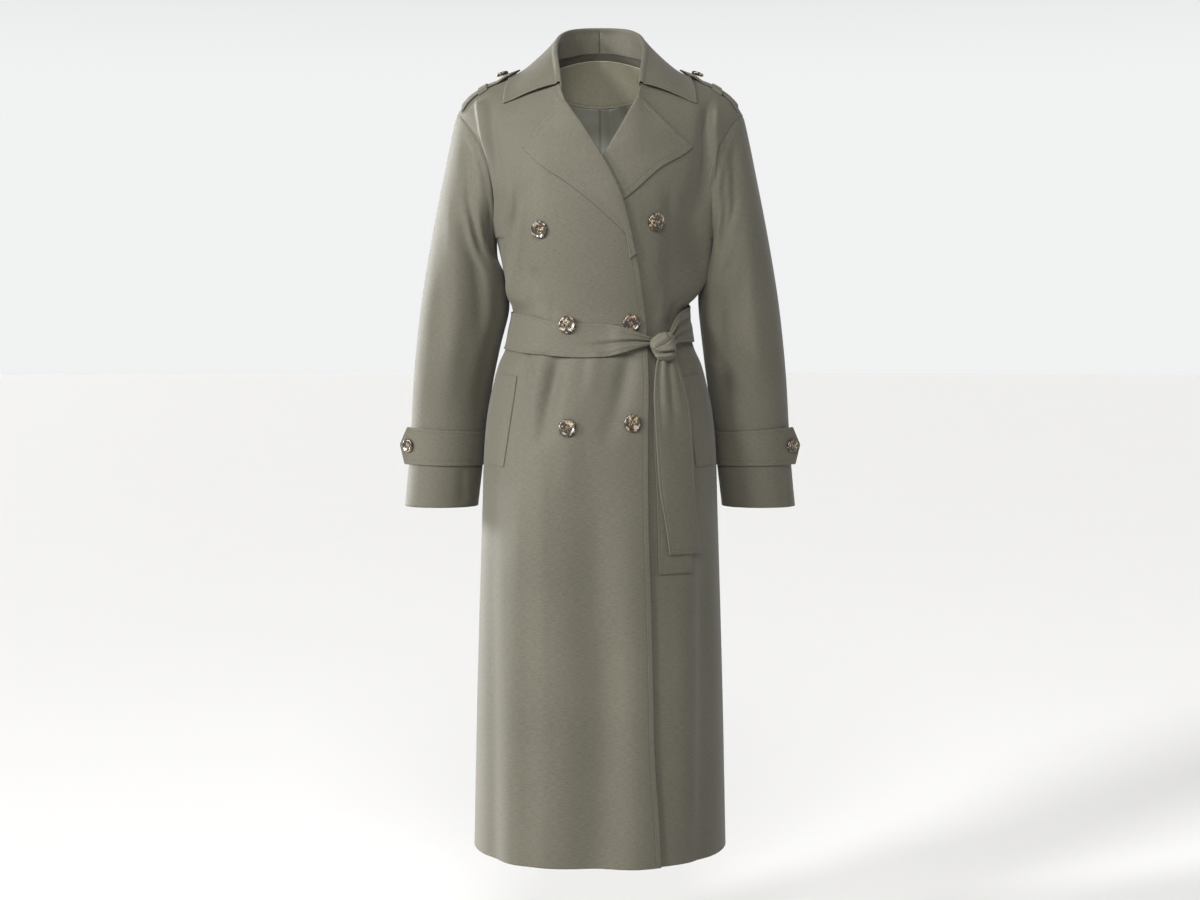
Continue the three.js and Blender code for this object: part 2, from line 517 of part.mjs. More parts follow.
// Lapel lying on its front, a little fuller along the roll line.
function lapel(own, rows, lapped) {
  const n = 12;
  const points = [];
  for (let i = 0; i <= n; i += 1) {
    const at = (i / n) * (rows.length - 1);
    const read = (name) => station(rows, name, at);
    const line = [];
    for (let k = 0; k <= 5; k += 1) {
      const t = k / 5;
      const x = mix(read("rollX"), read("edgeX"), t);
      const z = mix(read("rollZ"), read("edgeZ"), t) + (lapped ? 0 : -6 * t * (1 - t));
      const full = (lapped ? 2.2 : 2.2 * ease(-150, -120, z)) * Math.sin(Math.PI * Math.min(1, 0.25 + t));
      line.push(skin(angleAt(own * x, z), z, -1, LAPEL_RISE + Math.max(0, full) * ease(1, 0.6, i / n), lapped));
    }
    points.push(line);
  }
  return wall(points, 1.5, fromBody);
}

// Moves a point off the body if it lies closer to it than a distance, away from the middle of the shoulder.
function clearOfBody(p, distance) {
  const zc = shoulderZ(p.x) - SHOULDER_ROUND;
  const mid = column(BODY, "z", "mid", p.z);
  const depth = column(BODY, "z", p.y < mid ? "front" : "back", p.z) * profile(angleAt(p.x, p.z));
  const [a, b] = [(p.y - mid) / depth, (p.z - zc) / SHOULDER_ROUND];
  const r = Math.hypot(a, b);
  const span = Math.hypot(p.y - mid, p.z - zc);
  const need = 1 + distance / (span / r);
  const scale = Math.max(1, need / r);
  return vec(p.x, mid + (p.y - mid) * scale, zc + (p.z - zc) * scale);
}

// Both halves of the collar: reads the table forwards on the right side and backwards on the left.
const COLLAR_SPAN = COLLAR.length - 1;
function collarRead(at) {
  const own = at < COLLAR_SPAN ? -1 : 1;
  const s = own < 0 ? at : 2 * COLLAR_SPAN - at;
  return { own, read: (name) => station(COLLAR, name, s), ahead: s < 4 };
}
function collarStand() {
  const points = [];
  for (let i = 0; i <= 32; i += 1) {
    const { own, read, ahead } = collarRead((i / 32) * 2 * COLLAR_SPAN);
    const neck = bodyBase(angleAt(read("neckX"), read("neckZ")), read("neckZ"), ahead ? -1 : 1);
    const roll = vec(read("rollX"), read("rollY"), read("rollZ"));
    const line = [];
    for (const t of [0.16, 0.45, 0.7, 0.92]) {
      const p = neck.clone().lerp(roll, t).add(vec(-2.6, 0, -3.4));
      line.push(vec(own * p.x, p.y, p.z));
    }
    points.push(line);
  }
  return wall(points, 1.4, (p) => vec(-p.x, 10 - p.y, 0));
}
function collarLeaf() {
  const points = [];
  for (let i = 0; i <= 28; i += 1) {
    const { own, read } = collarRead((i / 28) * 2 * COLLAR_SPAN);
    const roll = vec(read("rollX"), read("rollY"), read("rollZ") + 1);
    const edge = vec(read("edgeX"), read("edgeY"), read("edgeZ"));
    const reach = roll.distanceTo(edge);
    const flat = vec(edge.x - roll.x, edge.y - roll.y, 0).normalize();
    const bend = roll.clone().addScaledVector(flat, 0.32 * reach).add(vec(0, 0, 5));
    const line = [];
    for (const t of [0, 0.12, 0.3, 0.5, 0.7, 0.86, 1]) {
      const p = roll.clone().multiplyScalar((1 - t) * (1 - t)).addScaledVector(bend, 2 * t * (1 - t))
        .addScaledVector(edge, t * t);
      const clear = clearOfBody(p, 3.4);
      line.push(vec(own * clear.x, clear.y, clear.z));
    }
    points.push(line);
  }
  return wall(points, 1.5, (p) => vec(p.x, p.y, p.z + 100));
}

// Facing and lining inside the back, where the open neck shows them.
function innerBack(half, lowAt, highAt, rows, cols) {
  const points = [];
  for (let r = 0; r <= rows; r += 1) {
    const line = [];
    for (let c = 0; c <= cols; c += 1) {
      const x = mix(-half, half, c / cols);
      const z = mix(lowAt(x), highAt(x), r / rows);
      line.push(skin(angleAt(x, z), z, 1, -LINING.inset, false));
    }
    points.push(line);
  }
  return wall(points, LINING.wall, fromBody);
}
const facingLow = (x) => -49 + 24 * (x / 100) * (x / 100);
const facingTop = (x) => (Math.abs(x) < NECK_X ? backNeckZ(x) : shoulderZ(x)) - 9;

// Front cloth point by its distance from the middle, for what lies on the fronts.
const onFront = (x, z, out, lapped) => skin(angleAt(x, z), z, -1, out, lapped);

function pocketWelt(own, lapped) {
  const points = [];
  for (let r = 0; r <= 8; r += 1) {
    const z = mix(-449, -577, r / 8);
    const start = angleAt(mix(117, 136.5, r / 8), z);
    const line = [];
    for (let c = 0; c <= 4; c += 1) {
      line.push(skin(own * (start + (WELT.sweep * c) / 4), z + 2 * c / 4, -1, WELT.rise + WELT.wall, lapped));
    }
    points.push(line);
  }
  return wall(points, WELT.wall, fromBody);
}

// Belt: a band round the waist, drawn together on its way to the knot.
function beltPoint(turn, across, out) {
  const side = Math.cos(turn) >= 0 ? -1 : 1;
  const angle = Math.asin(clamp(Math.sin(turn), -1, 1));
  const table = side < 0 ? BELT_FRONT : BELT_BACK;
  const guess = halfWidth(-385) * Math.sin(angle);
  const z = mix(column(table, "x", "top", guess), column(table, "x", "low", guess), across);
  const x = halfWidth(z) * Math.sin(angle);
  const rise = side < 0 ? column(BELT_RISE, "x", "rise", x) : 0.9;
  const base = bodyBase(angle, z, side);
  const folds = foldDepth(side < 0 ? FRONT_FOLDS : BACK_FOLDS, angle, base.x, z);
  return base.addScaledVector(bodyNormal(angle, z, side), Math.max(folds, -0.2) + rise + out);
}
function belt() {
  const points = [];
  for (const across of [0, 0.33, 0.67, 1]) {
    const line = [];
    for (let k = 0; k < 60; k += 1) line.push(beltPoint((2 * Math.PI * k) / 60, across, BELT_WALL));
    points.push(line);
  }
  return wall(points, BELT_WALL, fromBody, { around: true });
}

// Rounded lump of the tied belt in front of the band.
function beltKnot() {
  const anchor = onFront(KNOT.x, KNOT.z, 11.4 + BELT_WALL + 3.6 + KNOT.halfY, false);
  const positions = [];
  const faces = [];
  const [around, up] = [18, 10];
  const place = (a, b) => {
    const x = KNOT.halfX * Math.sin(b) * Math.cos(a);
    const z = KNOT.halfZ * Math.cos(b);
    const y = KNOT.halfY * Math.sin(b) * Math.sin(a);
    const [c, s] = [Math.cos(KNOT.lean), Math.sin(KNOT.lean)];
    positions.push(anchor.x + x * c - z * s, anchor.y + y, anchor.z + x * s + z * c);
  };
  place(0, 0);
  for (let i = 1; i < up; i += 1) {
    for (let k = 0; k < around; k += 1) place((2 * Math.PI * k) / around, (Math.PI * i) / up);
  }
  place(0, Math.PI);
  const id = (i, k) => 1 + (i - 1) * around + (k % around);
  const end = 1 + (up - 1) * around;
  for (let k = 0; k < around; k += 1) {
    faces.push(0, id(1, k + 1), id(1, k));
    faces.push(end, id(up - 1, k), id(up - 1, k + 1));
    for (let i = 1; i < up - 1; i += 1) {
      faces.push(id(i, k), id(i, k + 1), id(i + 1, k + 1), id(i, k), id(i + 1, k + 1), id(i + 1, k));
    }
  }
  return solid(positions, faces);
}

function beltTail(rows) {
  const points = [];
  for (let r = 0; r <= 14; r += 1) {
    const at = (r / 14) * (rows.length - 1);
    const read = (name) => station(rows, name, at);
    const line = [];
    for (let c = 0; c <= 4; c += 1) {
      line.push(onFront(mix(read("left"), read("right"), c / 4), read("z"), read("rise") + BELT_WALL, false));
    }
    points.push(line);
  }
  return wall(points, BELT_WALL, fromBody);
}

// Epaulette along the top of the shoulder, and the loop that keeps it down.
function shoulderHeight(x, y) {
  const top = shoulderZ(x);
  const side = y < column(BODY, "z", "mid", top) ? -1 : 1;
  let [high, low] = [top, top - 70];
  for (let k = 0; k < 30; k += 1) {
    const z = (high + low) / 2;
    if ((bodyBase(angleAt(x, z), z, side).y - y) * side > 0) low = z;
    else high = z;
  }
  return high;
}
function shoulderTop(x, y, out) {
  const slopeX = (shoulderHeight(x + 2, y) - shoulderHeight(x - 2, y)) / 4;
  const slopeY = (shoulderHeight(x, y + 4) - shoulderHeight(x, y - 4)) / 8;
  return vec(x, y, shoulderHeight(x, y)).addScaledVector(vec(-slopeX, -slopeY, 1).normalize(), out);
}
function epaulette(own) {
  const points = [];
  for (let i = 0; i <= 12; i += 1) {
    const x = mix(EPAULETTE.seam, EPAULETTE.tip, i / 12);
    const end = clamp((EPAULETTE.tip + EPAULETTE.point - x) / EPAULETTE.point, 0, 1);
    const half = EPAULETTE.half * mix(1, 0.12, end);
    const rise = EPAULETTE.rise + EPAULETTE.wall + EPAULETTE.overCollar * ease(150, 132, x);
    const line = [];
    for (let c = 0; c <= 6; c += 1) {
      const p = shoulderTop(x, 2 + half * (c / 3 - 1), rise);
      line.push(vec(own * p.x, p.y, p.z));
    }
    points.push(line);
  }
  return wall(points, EPAULETTE.wall, fromShoulder);
}
function keeper(own) {
  const points = [];
  for (const x of [KEEPER.from, KEEPER.to]) {
    const line = [];
    for (let c = 0; c <= 8; c += 1) {
      const p = shoulderTop(x, 2 + KEEPER.half * (c / 4 - 1), KEEPER.rise + KEEPER.wall);
      line.push(vec(own * p.x, p.y, p.z));
    }
    points.push(line);
  }
  return wall(points, KEEPER.wall, fromShoulder);
}

// Round button with a rim and a shallow dish, its back at a point and its face along a direction.
function buttonAt(parent, name, place, facing, radius) {
  const profilePoints = [
    [0, 0], [radius - 1.2, 0], [radius, 2], [radius - 1.2, BUTTON.height],
    [radius - 3.2, BUTTON.height], [radius - 4.4, BUTTON.height - BUTTON.dish], [0, BUTTON.height - BUTTON.dish],
  ];
  const ring = profilePoints.slice(1, -1);
  const turn = new THREE.Quaternion().setFromUnitVectors(vec(0, 0, 1), facing.clone().normalize());
  const positions = [];
  const put = (x, y, z) => {
    const p = vec(x, y, z).applyQuaternion(turn).add(place);
    positions.push(p.x, p.y, p.z);
  };
  put(0, 0, profilePoints[0][1]);
  for (const [r, h] of ring) {
    for (let k = 0; k < BUTTON.sides; k += 1) {
      const a = (2 * Math.PI * k) / BUTTON.sides;
      put(r * Math.cos(a), r * Math.sin(a), h);
    }
  }
  put(0, 0, profilePoints[profilePoints.length - 1][1]);
  const id = (i, k) => 1 + i * BUTTON.sides + (k % BUTTON.sides);
  const end = 1 + ring.length * BUTTON.sides;
  const faces = [];
  for (let k = 0; k < BUTTON.sides; k += 1) {
    faces.push(0, id(0, k + 1), id(0, k), end, id(ring.length - 1, k), id(ring.length - 1, k + 1));
    for (let i = 0; i < ring.length - 1; i += 1) {
      faces.push(id(i, k), id(i, k + 1), id(i + 1, k + 1), id(i, k), id(i + 1, k + 1), id(i + 1, k));
    }
  }
  return piece(parent, name, solid(positions, faces), SHELL);
}

const group = new THREE.Group();
group.name = "trench_coat";
const addGroup = (name) => {
  const g = new THREE.Group();
  g.name = name;
  group.add(g);
  return g;
};

const bodyGroup = addGroup("body");
piece(bodyGroup, "front_right", frontPanel(-1, RIGHT_EDGE, true));
piece(bodyGroup, "front_left", frontPanel(1, LEFT_EDGE, false));
piece(bodyGroup, "back", backPanel());
piece(bodyGroup, "lapel_right", lapel(-1, RIGHT_LAPEL, true));
piece(bodyGroup, "lapel_left", lapel(1, LEFT_LAPEL, false));
piece(bodyGroup, "pocket_welt_right", pocketWelt(-1, true));
piece(bodyGroup, "pocket_welt_left", pocketWelt(1, false));

const insideGroup = addGroup("inside");
piece(insideGroup, "back_facing", innerBack(LINING.facingHalf, facingLow, facingTop, 4, 20), LINING_CLOTH);
piece(insideGroup, "lining_back",
  innerBack(LINING.half, () => LINING.low, (x) => facingLow(clamp(x, -98, 98)) - 1, 6, 16), LINING_CLOTH);

const collarGroup = addGroup("collar");
piece(collarGroup, "collar_stand", collarStand());
piece(collarGroup, "collar_leaf", collarLeaf());

const beltGroup = addGroup("belt_parts");
piece(beltGroup, "belt", belt());
piece(beltGroup, "belt_knot", beltKnot());
piece(beltGroup, "belt_tail_front", beltTail(TAIL_FRONT));
piece(beltGroup, "belt_tail_back", beltTail(TAIL_BACK));

for (const [side, own] of [["right", -1], ["left", 1]]) {
  const arm = addGroup(`arm_${side}`);
  piece(arm, `sleeve_${side}`, sleeve(own));
  piece(arm, `cuff_strap_${side}`, cuffStrap(own));
  const on = strapPoint(1 + 22 / STRAP.tab, 0.48, STRAP.rise + STRAP.wall + 0.5);
  const face = sleeveNormal(STRAP_END, 9.45);
  buttonAt(arm, `cuff_button_${side}`, vec(own * on.x, on.y, on.z), vec(own * face.x, face.y, face.z), BUTTON.small);

  const shoulder = addGroup(`shoulder_${side}`);
  piece(shoulder, `epaulette_${side}`, epaulette(own));
  piece(shoulder, `keeper_${side}`, keeper(own));
  const at = shoulderTop(139, 2, EPAULETTE.rise + EPAULETTE.wall + EPAULETTE.overCollar * ease(150, 132, 139) + 0.9);
  const slope = shoulderTop(144, 2, 0).sub(shoulderTop(134, 2, 0));
  const up = vec(-slope.z, 0, slope.x).normalize();
  buttonAt(shoulder, `epaulette_button_${side}`, vec(own * at.x, at.y, at.z + 0.8), vec(own * up.x, 0, up.z), BUTTON.small - 1);
}

const buttonGroup = addGroup("front_buttons");
for (const b of FRONT_BUTTONS) {
  const lapped = b.x < column(RIGHT_EDGE, "z", "x", b.z) * -1;
  const angle = angleAt(b.x, b.z);
  const place = skin(angle, b.z, -1, b.rise, lapped);
  buttonAt(buttonGroup, b.name, place, bodyNormal(angle, b.z, -1), BUTTON.radius);
}

export default group;
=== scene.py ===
"""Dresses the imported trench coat: fine cloth surfaces with their creases, stitching, buttons, light and camera."""
import logging
from dataclasses import dataclass, field
from enum import Enum

import bpy
import numpy as np
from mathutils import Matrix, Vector


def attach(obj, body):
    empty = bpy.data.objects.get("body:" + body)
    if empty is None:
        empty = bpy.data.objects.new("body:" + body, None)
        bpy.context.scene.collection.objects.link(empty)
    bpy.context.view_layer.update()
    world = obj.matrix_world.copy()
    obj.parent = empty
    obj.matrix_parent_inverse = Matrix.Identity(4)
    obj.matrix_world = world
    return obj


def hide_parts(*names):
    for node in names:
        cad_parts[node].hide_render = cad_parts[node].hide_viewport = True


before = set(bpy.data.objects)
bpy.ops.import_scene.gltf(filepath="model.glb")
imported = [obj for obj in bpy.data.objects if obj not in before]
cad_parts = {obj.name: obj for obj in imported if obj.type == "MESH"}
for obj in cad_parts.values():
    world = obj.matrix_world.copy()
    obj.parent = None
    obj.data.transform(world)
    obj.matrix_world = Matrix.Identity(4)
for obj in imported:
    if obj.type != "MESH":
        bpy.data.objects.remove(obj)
log = logging.getLogger("trench_coat")
Array = np.ndarray
MM = 0.001
QUARTER_TURN = np.pi / 2


class Side(Enum):
    """Which side of the coat a piece sits on, with the sign of its X."""

    RIGHT = -1
    LEFT = 1

    @property
    def word(self) -> str:
        """Name of the side as the nodes spell it."""
        return self.name.lower()


class Border(Enum):
    """The four borders of a cloth grid: first and last row, first and last column."""

    FIRST_ROW = 0
    LAST_ROW = 1
    FIRST_COLUMN = 2
    LAST_COLUMN = 3


# Small helpers on arrays.
def mix(a: Array | float, b: Array | float, t: Array | float) -> Array | float:
    """Straight blend from a at t = 0 to b at t = 1."""
    return a + (b - a) * t


def ease(a: float, b: float, v: Array | float) -> Array:
    """Smooth step from 0 at a to 1 at b: t squared times (3 - 2 t)."""
    t = np.clip((np.asarray(v, float) - a) / (b - np.asarray(a, float)), 0, 1)
    return t * t * (3 - 2 * t)


def hump(away: Array, width: Array | float) -> Array:
    """Bell of height 1: exp(-(distance over width) squared)."""
    return np.exp(-((away / width) ** 2))


def unit(v: Array) -> Array:
    """Vectors along the last axis divided by their length."""
    return v / np.maximum(np.linalg.norm(v, axis=-1, keepdims=True), 1e-9)


def xyz(x: Array | float, y: Array | float, z: Array | float) -> Array:
    """Stacks three broadcast arrays into points."""
    return np.stack(np.broadcast_arrays(*(np.asarray(v, float) for v in (x, y, z))), axis=-1)


def crowded(count: int, share: float = 0.7) -> Array:
    """Values from 0 to 1 that stand closer together at both ends.

    Args:
        count: how many values.
        share: 0 gives even spacing, 1 the spacing of a half circle's cosine.

    Returns:
        The blend of an even ramp with (1 - cos(pi t)) / 2.
    """
    t = np.linspace(0, 1, count)
    return mix(t, (1 - np.cos(np.pi * t)) / 2, share)


class Curve:
    """Smooth curve through measured rows: Hermite cubics with Catmull-Rom slopes, held level past both ends."""

    def __init__(self, keys: Array | list, values: Array | list) -> None:
        """Keeps the rows in rising order of their keys."""
        self.keys = np.asarray(keys, float)
        self.values = np.asarray(values, float)
        low = np.maximum(np.arange(len(self.keys)) - 1, 0)
        high = np.minimum(np.arange(len(self.keys)) + 1, len(self.keys) - 1)
        self.slopes = (self.values[high] - self.values[low]) / (self.keys[high] - self.keys[low])

    def __call__(self, at: Array | float) -> Array:
        """Values at the given keys: the cubic whose ends and end slopes are those of the two rows around each."""
        v = np.clip(np.asarray(at, float), self.keys[0], self.keys[-1])
        i = np.clip(np.searchsorted(self.keys, v, side="left") - 1, 0, len(self.keys) - 2)
        h = self.keys[i + 1] - self.keys[i]
        t = (v - self.keys[i]) / h
        t2, t3 = t * t, t * t * t
        return (
            (2 * t3 - 3 * t2 + 1) * self.values[i]
            + (t3 - 2 * t2 + t) * h * self.slopes[i]
            + (3 * t2 - 2 * t3) * self.values[i + 1]
            + (t3 - t2) * h * self.slopes[i + 1]
        )


def columns(rows: tuple[tuple[float, ...], ...], keyed: bool = True) -> list[Curve]:
    """Curves of a table's columns.

    Args:
        rows: the table's rows.
        keyed: True reads the first column as the key, False reads the rows by their place, 0, 1, 2 and on.

    Returns:
        One Curve for each column that isn't the key.
    """
    table = np.asarray(rows, float)
    if not keyed:
        return [Curve(np.arange(len(table)), c) for c in table.T]
    table = table[np.argsort(table[:, 0])]
    return [Curve(table[:, 0], c) for c in table.T[1:]]


def section_through(stations: Array, count: int) -> Array:
    """Smooth lines through stacked control points.

    Args:
        stations: control points, shaped (controls, lines, 3).
        count: how many points each line gets.

    Returns:
        Points shaped (lines, count, 3), by Catmull-Rom cubics from each control to the next.
    """
    n = len(stations)
    at = np.linspace(0, n - 1, count)
    i = np.clip(np.floor(at).astype(int), 0, n - 2)
    t = (at - i)[:, None, None]
    p0, p1, p2, p3 = (stations[np.clip(i + k, 0, n - 1)] for k in (-1, 0, 1, 2))
    p = 0.5 * (2 * p1 + (p2 - p0) * t + (2 * p0 - 5 * p1 + 4 * p2 - p3) * t**2 + (3 * p1 - p0 - 3 * p2 + p3) * t**3)
    return np.swapaxes(p, 0, 1)


@dataclass(frozen=True)
class Crease:
    """A soft ridge or trough on cloth.

    Its line runs through (height, place) pairs from the top down, low and high are its half widths on the two
    sides, and rise is how far it stands out of the cloth, negative for a trough. start and end are the shares
    of its length over which it fades.
    """

    line: tuple[tuple[float, float], ...]
    low: float
    high: float
    rise: float
    start: float = 0.22
    end: float = 0.3

    def __call__(self, place: Array, height: Array) -> Array:
        """Rise at each place and height: a bell exp(-(distance / half width) squared), faded at both ends."""
        h = np.array([p[0] for p in self.line], float)
        c = np.array([p[1] for p in self.line], float)
        t = (height - h[0]) / (h[-1] - h[0])
        order = np.argsort(h)
        away = place - np.interp(height, h[order], c[order])
        width = np.where(away < 0, self.low, self.high)
        return self.rise * hump(away, width) * ease(0, self.start, t) * ease(1, 1 - self.end, t)


def straight(top_x: float, top_z: float, low_x: float, low_z: float, width: float, depth: float) -> Crease:
    """Crease along one straight line, as the solids have it."""
    return Crease(((top_z, top_x), (low_z, low_x)), width, width, depth)


# The coat's form.
@dataclass(frozen=True)
class CoatForm:
    """The coat's own form in millimetres, as the solids have it, with finer creases on top.

    A point of the body is found by an angle from the middle line and a height: x is the half width times the
    angle's sine, y the middle plus the depth times a rounded-square profile, drawn in over the shoulder.
    """

    armpit: float = -251.0
    hem: float = -1141.0
    armpit_half: float = 149.5
    shoulder_end: float = 208.0
    neck: float = 75.0
    square: float = 2.2
    shoulder_round: float = 170.0
    lap: float = 5.4
    body: tuple = (
        (-1141, 186.5, 154, 150, 0), (-930, 181.5, 147, 144, -3), (-781, 177, 142, 140, -5),
        (-633, 172, 137, 136, -8), (-550, 169, 133, 131, -8), (-502, 164, 128, 125, -8),
        (-465, 156.5, 122, 117, -6), (-433, 148, 116, 110, -4), (-408, 137, 112, 105, -2),
        (-385, 131.5, 111, 103, -1), (-360, 127, 111, 102, 0), (-338, 130, 114, 104, 0),
        (-300, 138, 121, 108, 0), (-251, 149.5, 129, 113, 0), (-205, 163, 132, 117, 1),
        (-160, 178, 128, 120, 2), (-120, 195, 122, 119, 3), (-90, 210, 119, 117, 4),
        (-70, 220, 117, 114, 4), (0, 228, 112, 107, 5), (70, 232, 105, 98, 6),
    )
    shoulder_line: tuple = (
        (0, 62), (25, 52), (50, 30), (62, 16), (75, 6), (100, -6), (118, -14), (148, -24), (161, -29),
        (177, -38), (188, -46), (199, -58), (208, -72), (216, -86),
    )
    armhole_line: tuple = (
        (-251, 149.5), (-240, 149), (-205, 150.5), (-160, 157), (-125, 168.5), (-105, 179.5), (-88, 190),
        (-79, 197), (-74, 201.5), (-72, 208),
    )
    front_folds: tuple = (
        straight(-57, -420, -84, -560, 12, -5), straight(-38, -420, -48, -640, 18, 2.5),
        straight(35, -425, 5, -560, 15, -3), straight(-158, -60, -128, -335, 9, -3.5),
        straight(158, -60, 138, -300, 10, -4), straight(-120, -170, -112, -350, 12, -3),
        straight(-92, -290, -80, -360, 10, -2.5), straight(112, -180, 96, -350, 14, -3),
        straight(-105, -640, -98, -1180, 30, -5), straight(112, -700, 118, -1180, 22, 4.5),
        straight(152, -560, 158, -1180, 16, -4), straight(20, -760, 26, -1180, 26, -3),
    )
    back_folds: tuple = (
        straight(0, -440, 4, -700, 20, -4), straight(-78, -425, -92, -640, 16, -5),
        straight(84, -425, 100, -600, 17, -4.5), straight(-52, -700, -58, -1180, 30, 5),
        straight(60, -650, 66, -1180, 26, -5), straight(-108, -170, -92, -345, 14, -4),
        straight(110, -190, 90, -345, 15, -4),
    )
    # Finer creases: beside the armholes, down the chest, above and below the belt, broad bands of the skirt.
    front_creases: tuple = (
        Crease(((-48, -177), (-97, -168), (-129, -162), (-173, -154), (-205, -147)), 4, 15, 5.5, 0.12, 0.25),
        Crease(((-45, -158), (-110, -153), (-190, -142)), 7, 8, -2.4),
        Crease(((-170, -122), (-240, -126)), 6, 4, 2.4, 0.4, 0.4),
        Crease(((-190, -110), (-232, -111), (-271, -114), (-306, -117), (-352, -121)), 4, 7, 3.2, 0.2, 0.25),
        Crease(((-200, -120), (-300, -127), (-354, -130)), 7, 5, -2.8),
        Crease(((-316, -87), (-374, -86)), 6, 6, 2.4, 0.35, 0.25),
        Crease(((-330, -66), (-372, -62)), 6, 5, -1.4, 0.4, 0.3),
        Crease(((-46, 158), (-90, 154), (-131, 148), (-173, 137), (-230, 124), (-320, 117)), 12, 6, -8.0, 0.12, 0.2),
        Crease(((-50, 168), (-131, 160), (-210, 139), (-300, 127)), 6, 7, 3.4, 0.15, 0.3),
        Crease(((-165, 96), (-222, 100), (-271, 100), (-327, 97), (-366, 94)), 12, 8, -3.4),
        Crease(((-190, 128), (-260, 131), (-340, 124)), 8, 8, 2.2),
        Crease(((-300, 92), (-378, 86)), 6, 7, 1.8, 0.4, 0.2),
        Crease(((-330, 110), (-378, 98)), 5, 5, -2.6, 0.4, 0.15),
        Crease(((-408, -55), (-449, -65), (-484, -75), (-560, -88)), 8, 14, -4.2, 0.08, 0.55),
        Crease(((-410, -78), (-470, -92), (-540, -104)), 10, 9, 2.6, 0.1, 0.6),
        Crease(((-408, -100), (-446, -102)), 3.5, 4.5, -2.6, 0.1, 0.6),
        Crease(((-416, -118), (-480, -126)), 6, 7, 1.6, 0.2, 0.6),
        Crease(((-414, -20), (-478, -26)), 7, 8, -1.3, 0.2, 0.6),
        Crease(((-408, 40), (-450, 36), (-530, 22)), 12, 12, -4.0, 0.08, 0.6),
        Crease(((-408, -6), (-450, -12), (-520, -24)), 14, 14, 2.6, 0.1, 0.6),
        Crease(((-402, 118), (-450, 124), (-520, 128)), 6, 6, -2.0, 0.15, 0.5),
        Crease(((-500, -96), (-640, -104), (-900, -112), (-1200, -120)), 24, 32, 8.0, 0.3, 0.02),
        Crease(((-520, -150), (-760, -156), (-1200, -152)), 11, 12, -2.6, 0.35, 0.05),
        Crease(((-520, -18), (-700, -8), (-940, -2), (-1200, -8)), 38, 30, -9.5, 0.3, 0.02),
        Crease(((-560, 44), (-900, 46), (-1200, 52)), 22, 30, 3.0, 0.35, 0.05),
        Crease(((-600, 146), (-900, 148), (-1200, 142)), 10, 12, -2.6, 0.35, 0.05),
    )
    back_creases: tuple = (
        Crease(((-40, -150), (-120, -146), (-230, -132), (-300, -128)), 8, 6, -3.0, 0.2, 0.3),
        Crease(((-40, 154), (-140, 148), (-290, 130)), 6, 8, -3.2, 0.2, 0.3),
        Crease(((-120, -60), (-220, -48), (-330, -40)), 16, 12, -1.8),
        Crease(((-150, 48), (-250, 52), (-345, 60)), 12, 15, -2.0),
        Crease(((-290, -16), (-352, -14)), 7, 8, 2.0, 0.5, 0.15),
        Crease(((-300, 30), (-350, 28)), 6, 6, 1.8, 0.5, 0.15),
        Crease(((-280, -72), (-352, -66)), 7, 6, 2.2, 0.5, 0.15),
        Crease(((-404, -40), (-500, -46)), 7, 8, -2.4, 0.12, 0.5),
        Crease(((-404, 38), (-470, 44)), 6, 7, -2.0, 0.12, 0.6),
        Crease(((-404, -112), (-480, -120)), 6, 6, -1.8, 0.12, 0.6),
        Crease(((-620, 128), (-860, 132), (-1200, 138)), 14, 14, 3.2, 0.3, 0.05),
        Crease(((-600, -124), (-860, -130), (-1200, -132)), 16, 16, -3.4, 0.3, 0.05),
        Crease(((-720, 4), (-960, 8), (-1200, 12)), 22, 18, 3.0, 0.3, 0.05),
    )

    # Height, then how far the fronts billow out past the armholes and over the belt, right and left.
    billows: tuple = (
        (-362, 0, 0), (-357, 0, 0), (-350, 4, 1), (-339, 11.5, 16), (-324, 14.5, 26), (-306, 14, 30), (-275, 11, 28),
        (-240, 9, 24), (-213, 6, 21), (-173, 2, 15), (-140, 0, 8), (-95, 0, 0), (-60, 0, 0),
    )

    def __post_init__(self) -> None:
        """Reads each table into its curves."""
        right, left = columns(self.billows)
        object.__setattr__(self, "billow_right", right)
        object.__setattr__(self, "billow_left", left)
        half, front, back, mid = columns(self.body)
        for name, curve in (("half", half), ("front", front), ("back", back), ("mid", mid)):
            object.__setattr__(self, name, curve)
        object.__setattr__(self, "_shoulder", columns(self.shoulder_line)[0])
        object.__setattr__(self, "armhole", columns(self.armhole_line)[0])

    def shoulder(self, x: Array | float) -> Array:
        """Height of the shoulder line over the distance from the middle."""
        return self._shoulder(np.abs(x))

    def up_to(self, top: Array | float, up: Array | float) -> Array:
        """Height at a share of the way from the armpit to a top."""
        return self.armpit + up * (np.asarray(top, float) - self.armpit)

    def angle(self, x: Array | float, z: Array | float) -> Array:
        """Angle from the middle line of a place on the front or back: arcsine of x over the half width."""
        return np.arcsin(np.clip(np.asarray(x, float) / self.half(z), -1, 1))

    def profile(self, angle: Array) -> Array:
        """Rounded-square depth share: (1 - |sin a| to the 2.2) to the 1 / 2.2."""
        return np.maximum(0, 1 - np.abs(np.sin(angle)) ** self.square) ** (1 / self.square)

    def depth(self, z: Array, side: Array | float) -> Array:
        """Depth in front of the middle where side is -1, behind it where side is 1."""
        return np.where(np.asarray(side) < 0, self.front(z), self.back(z))

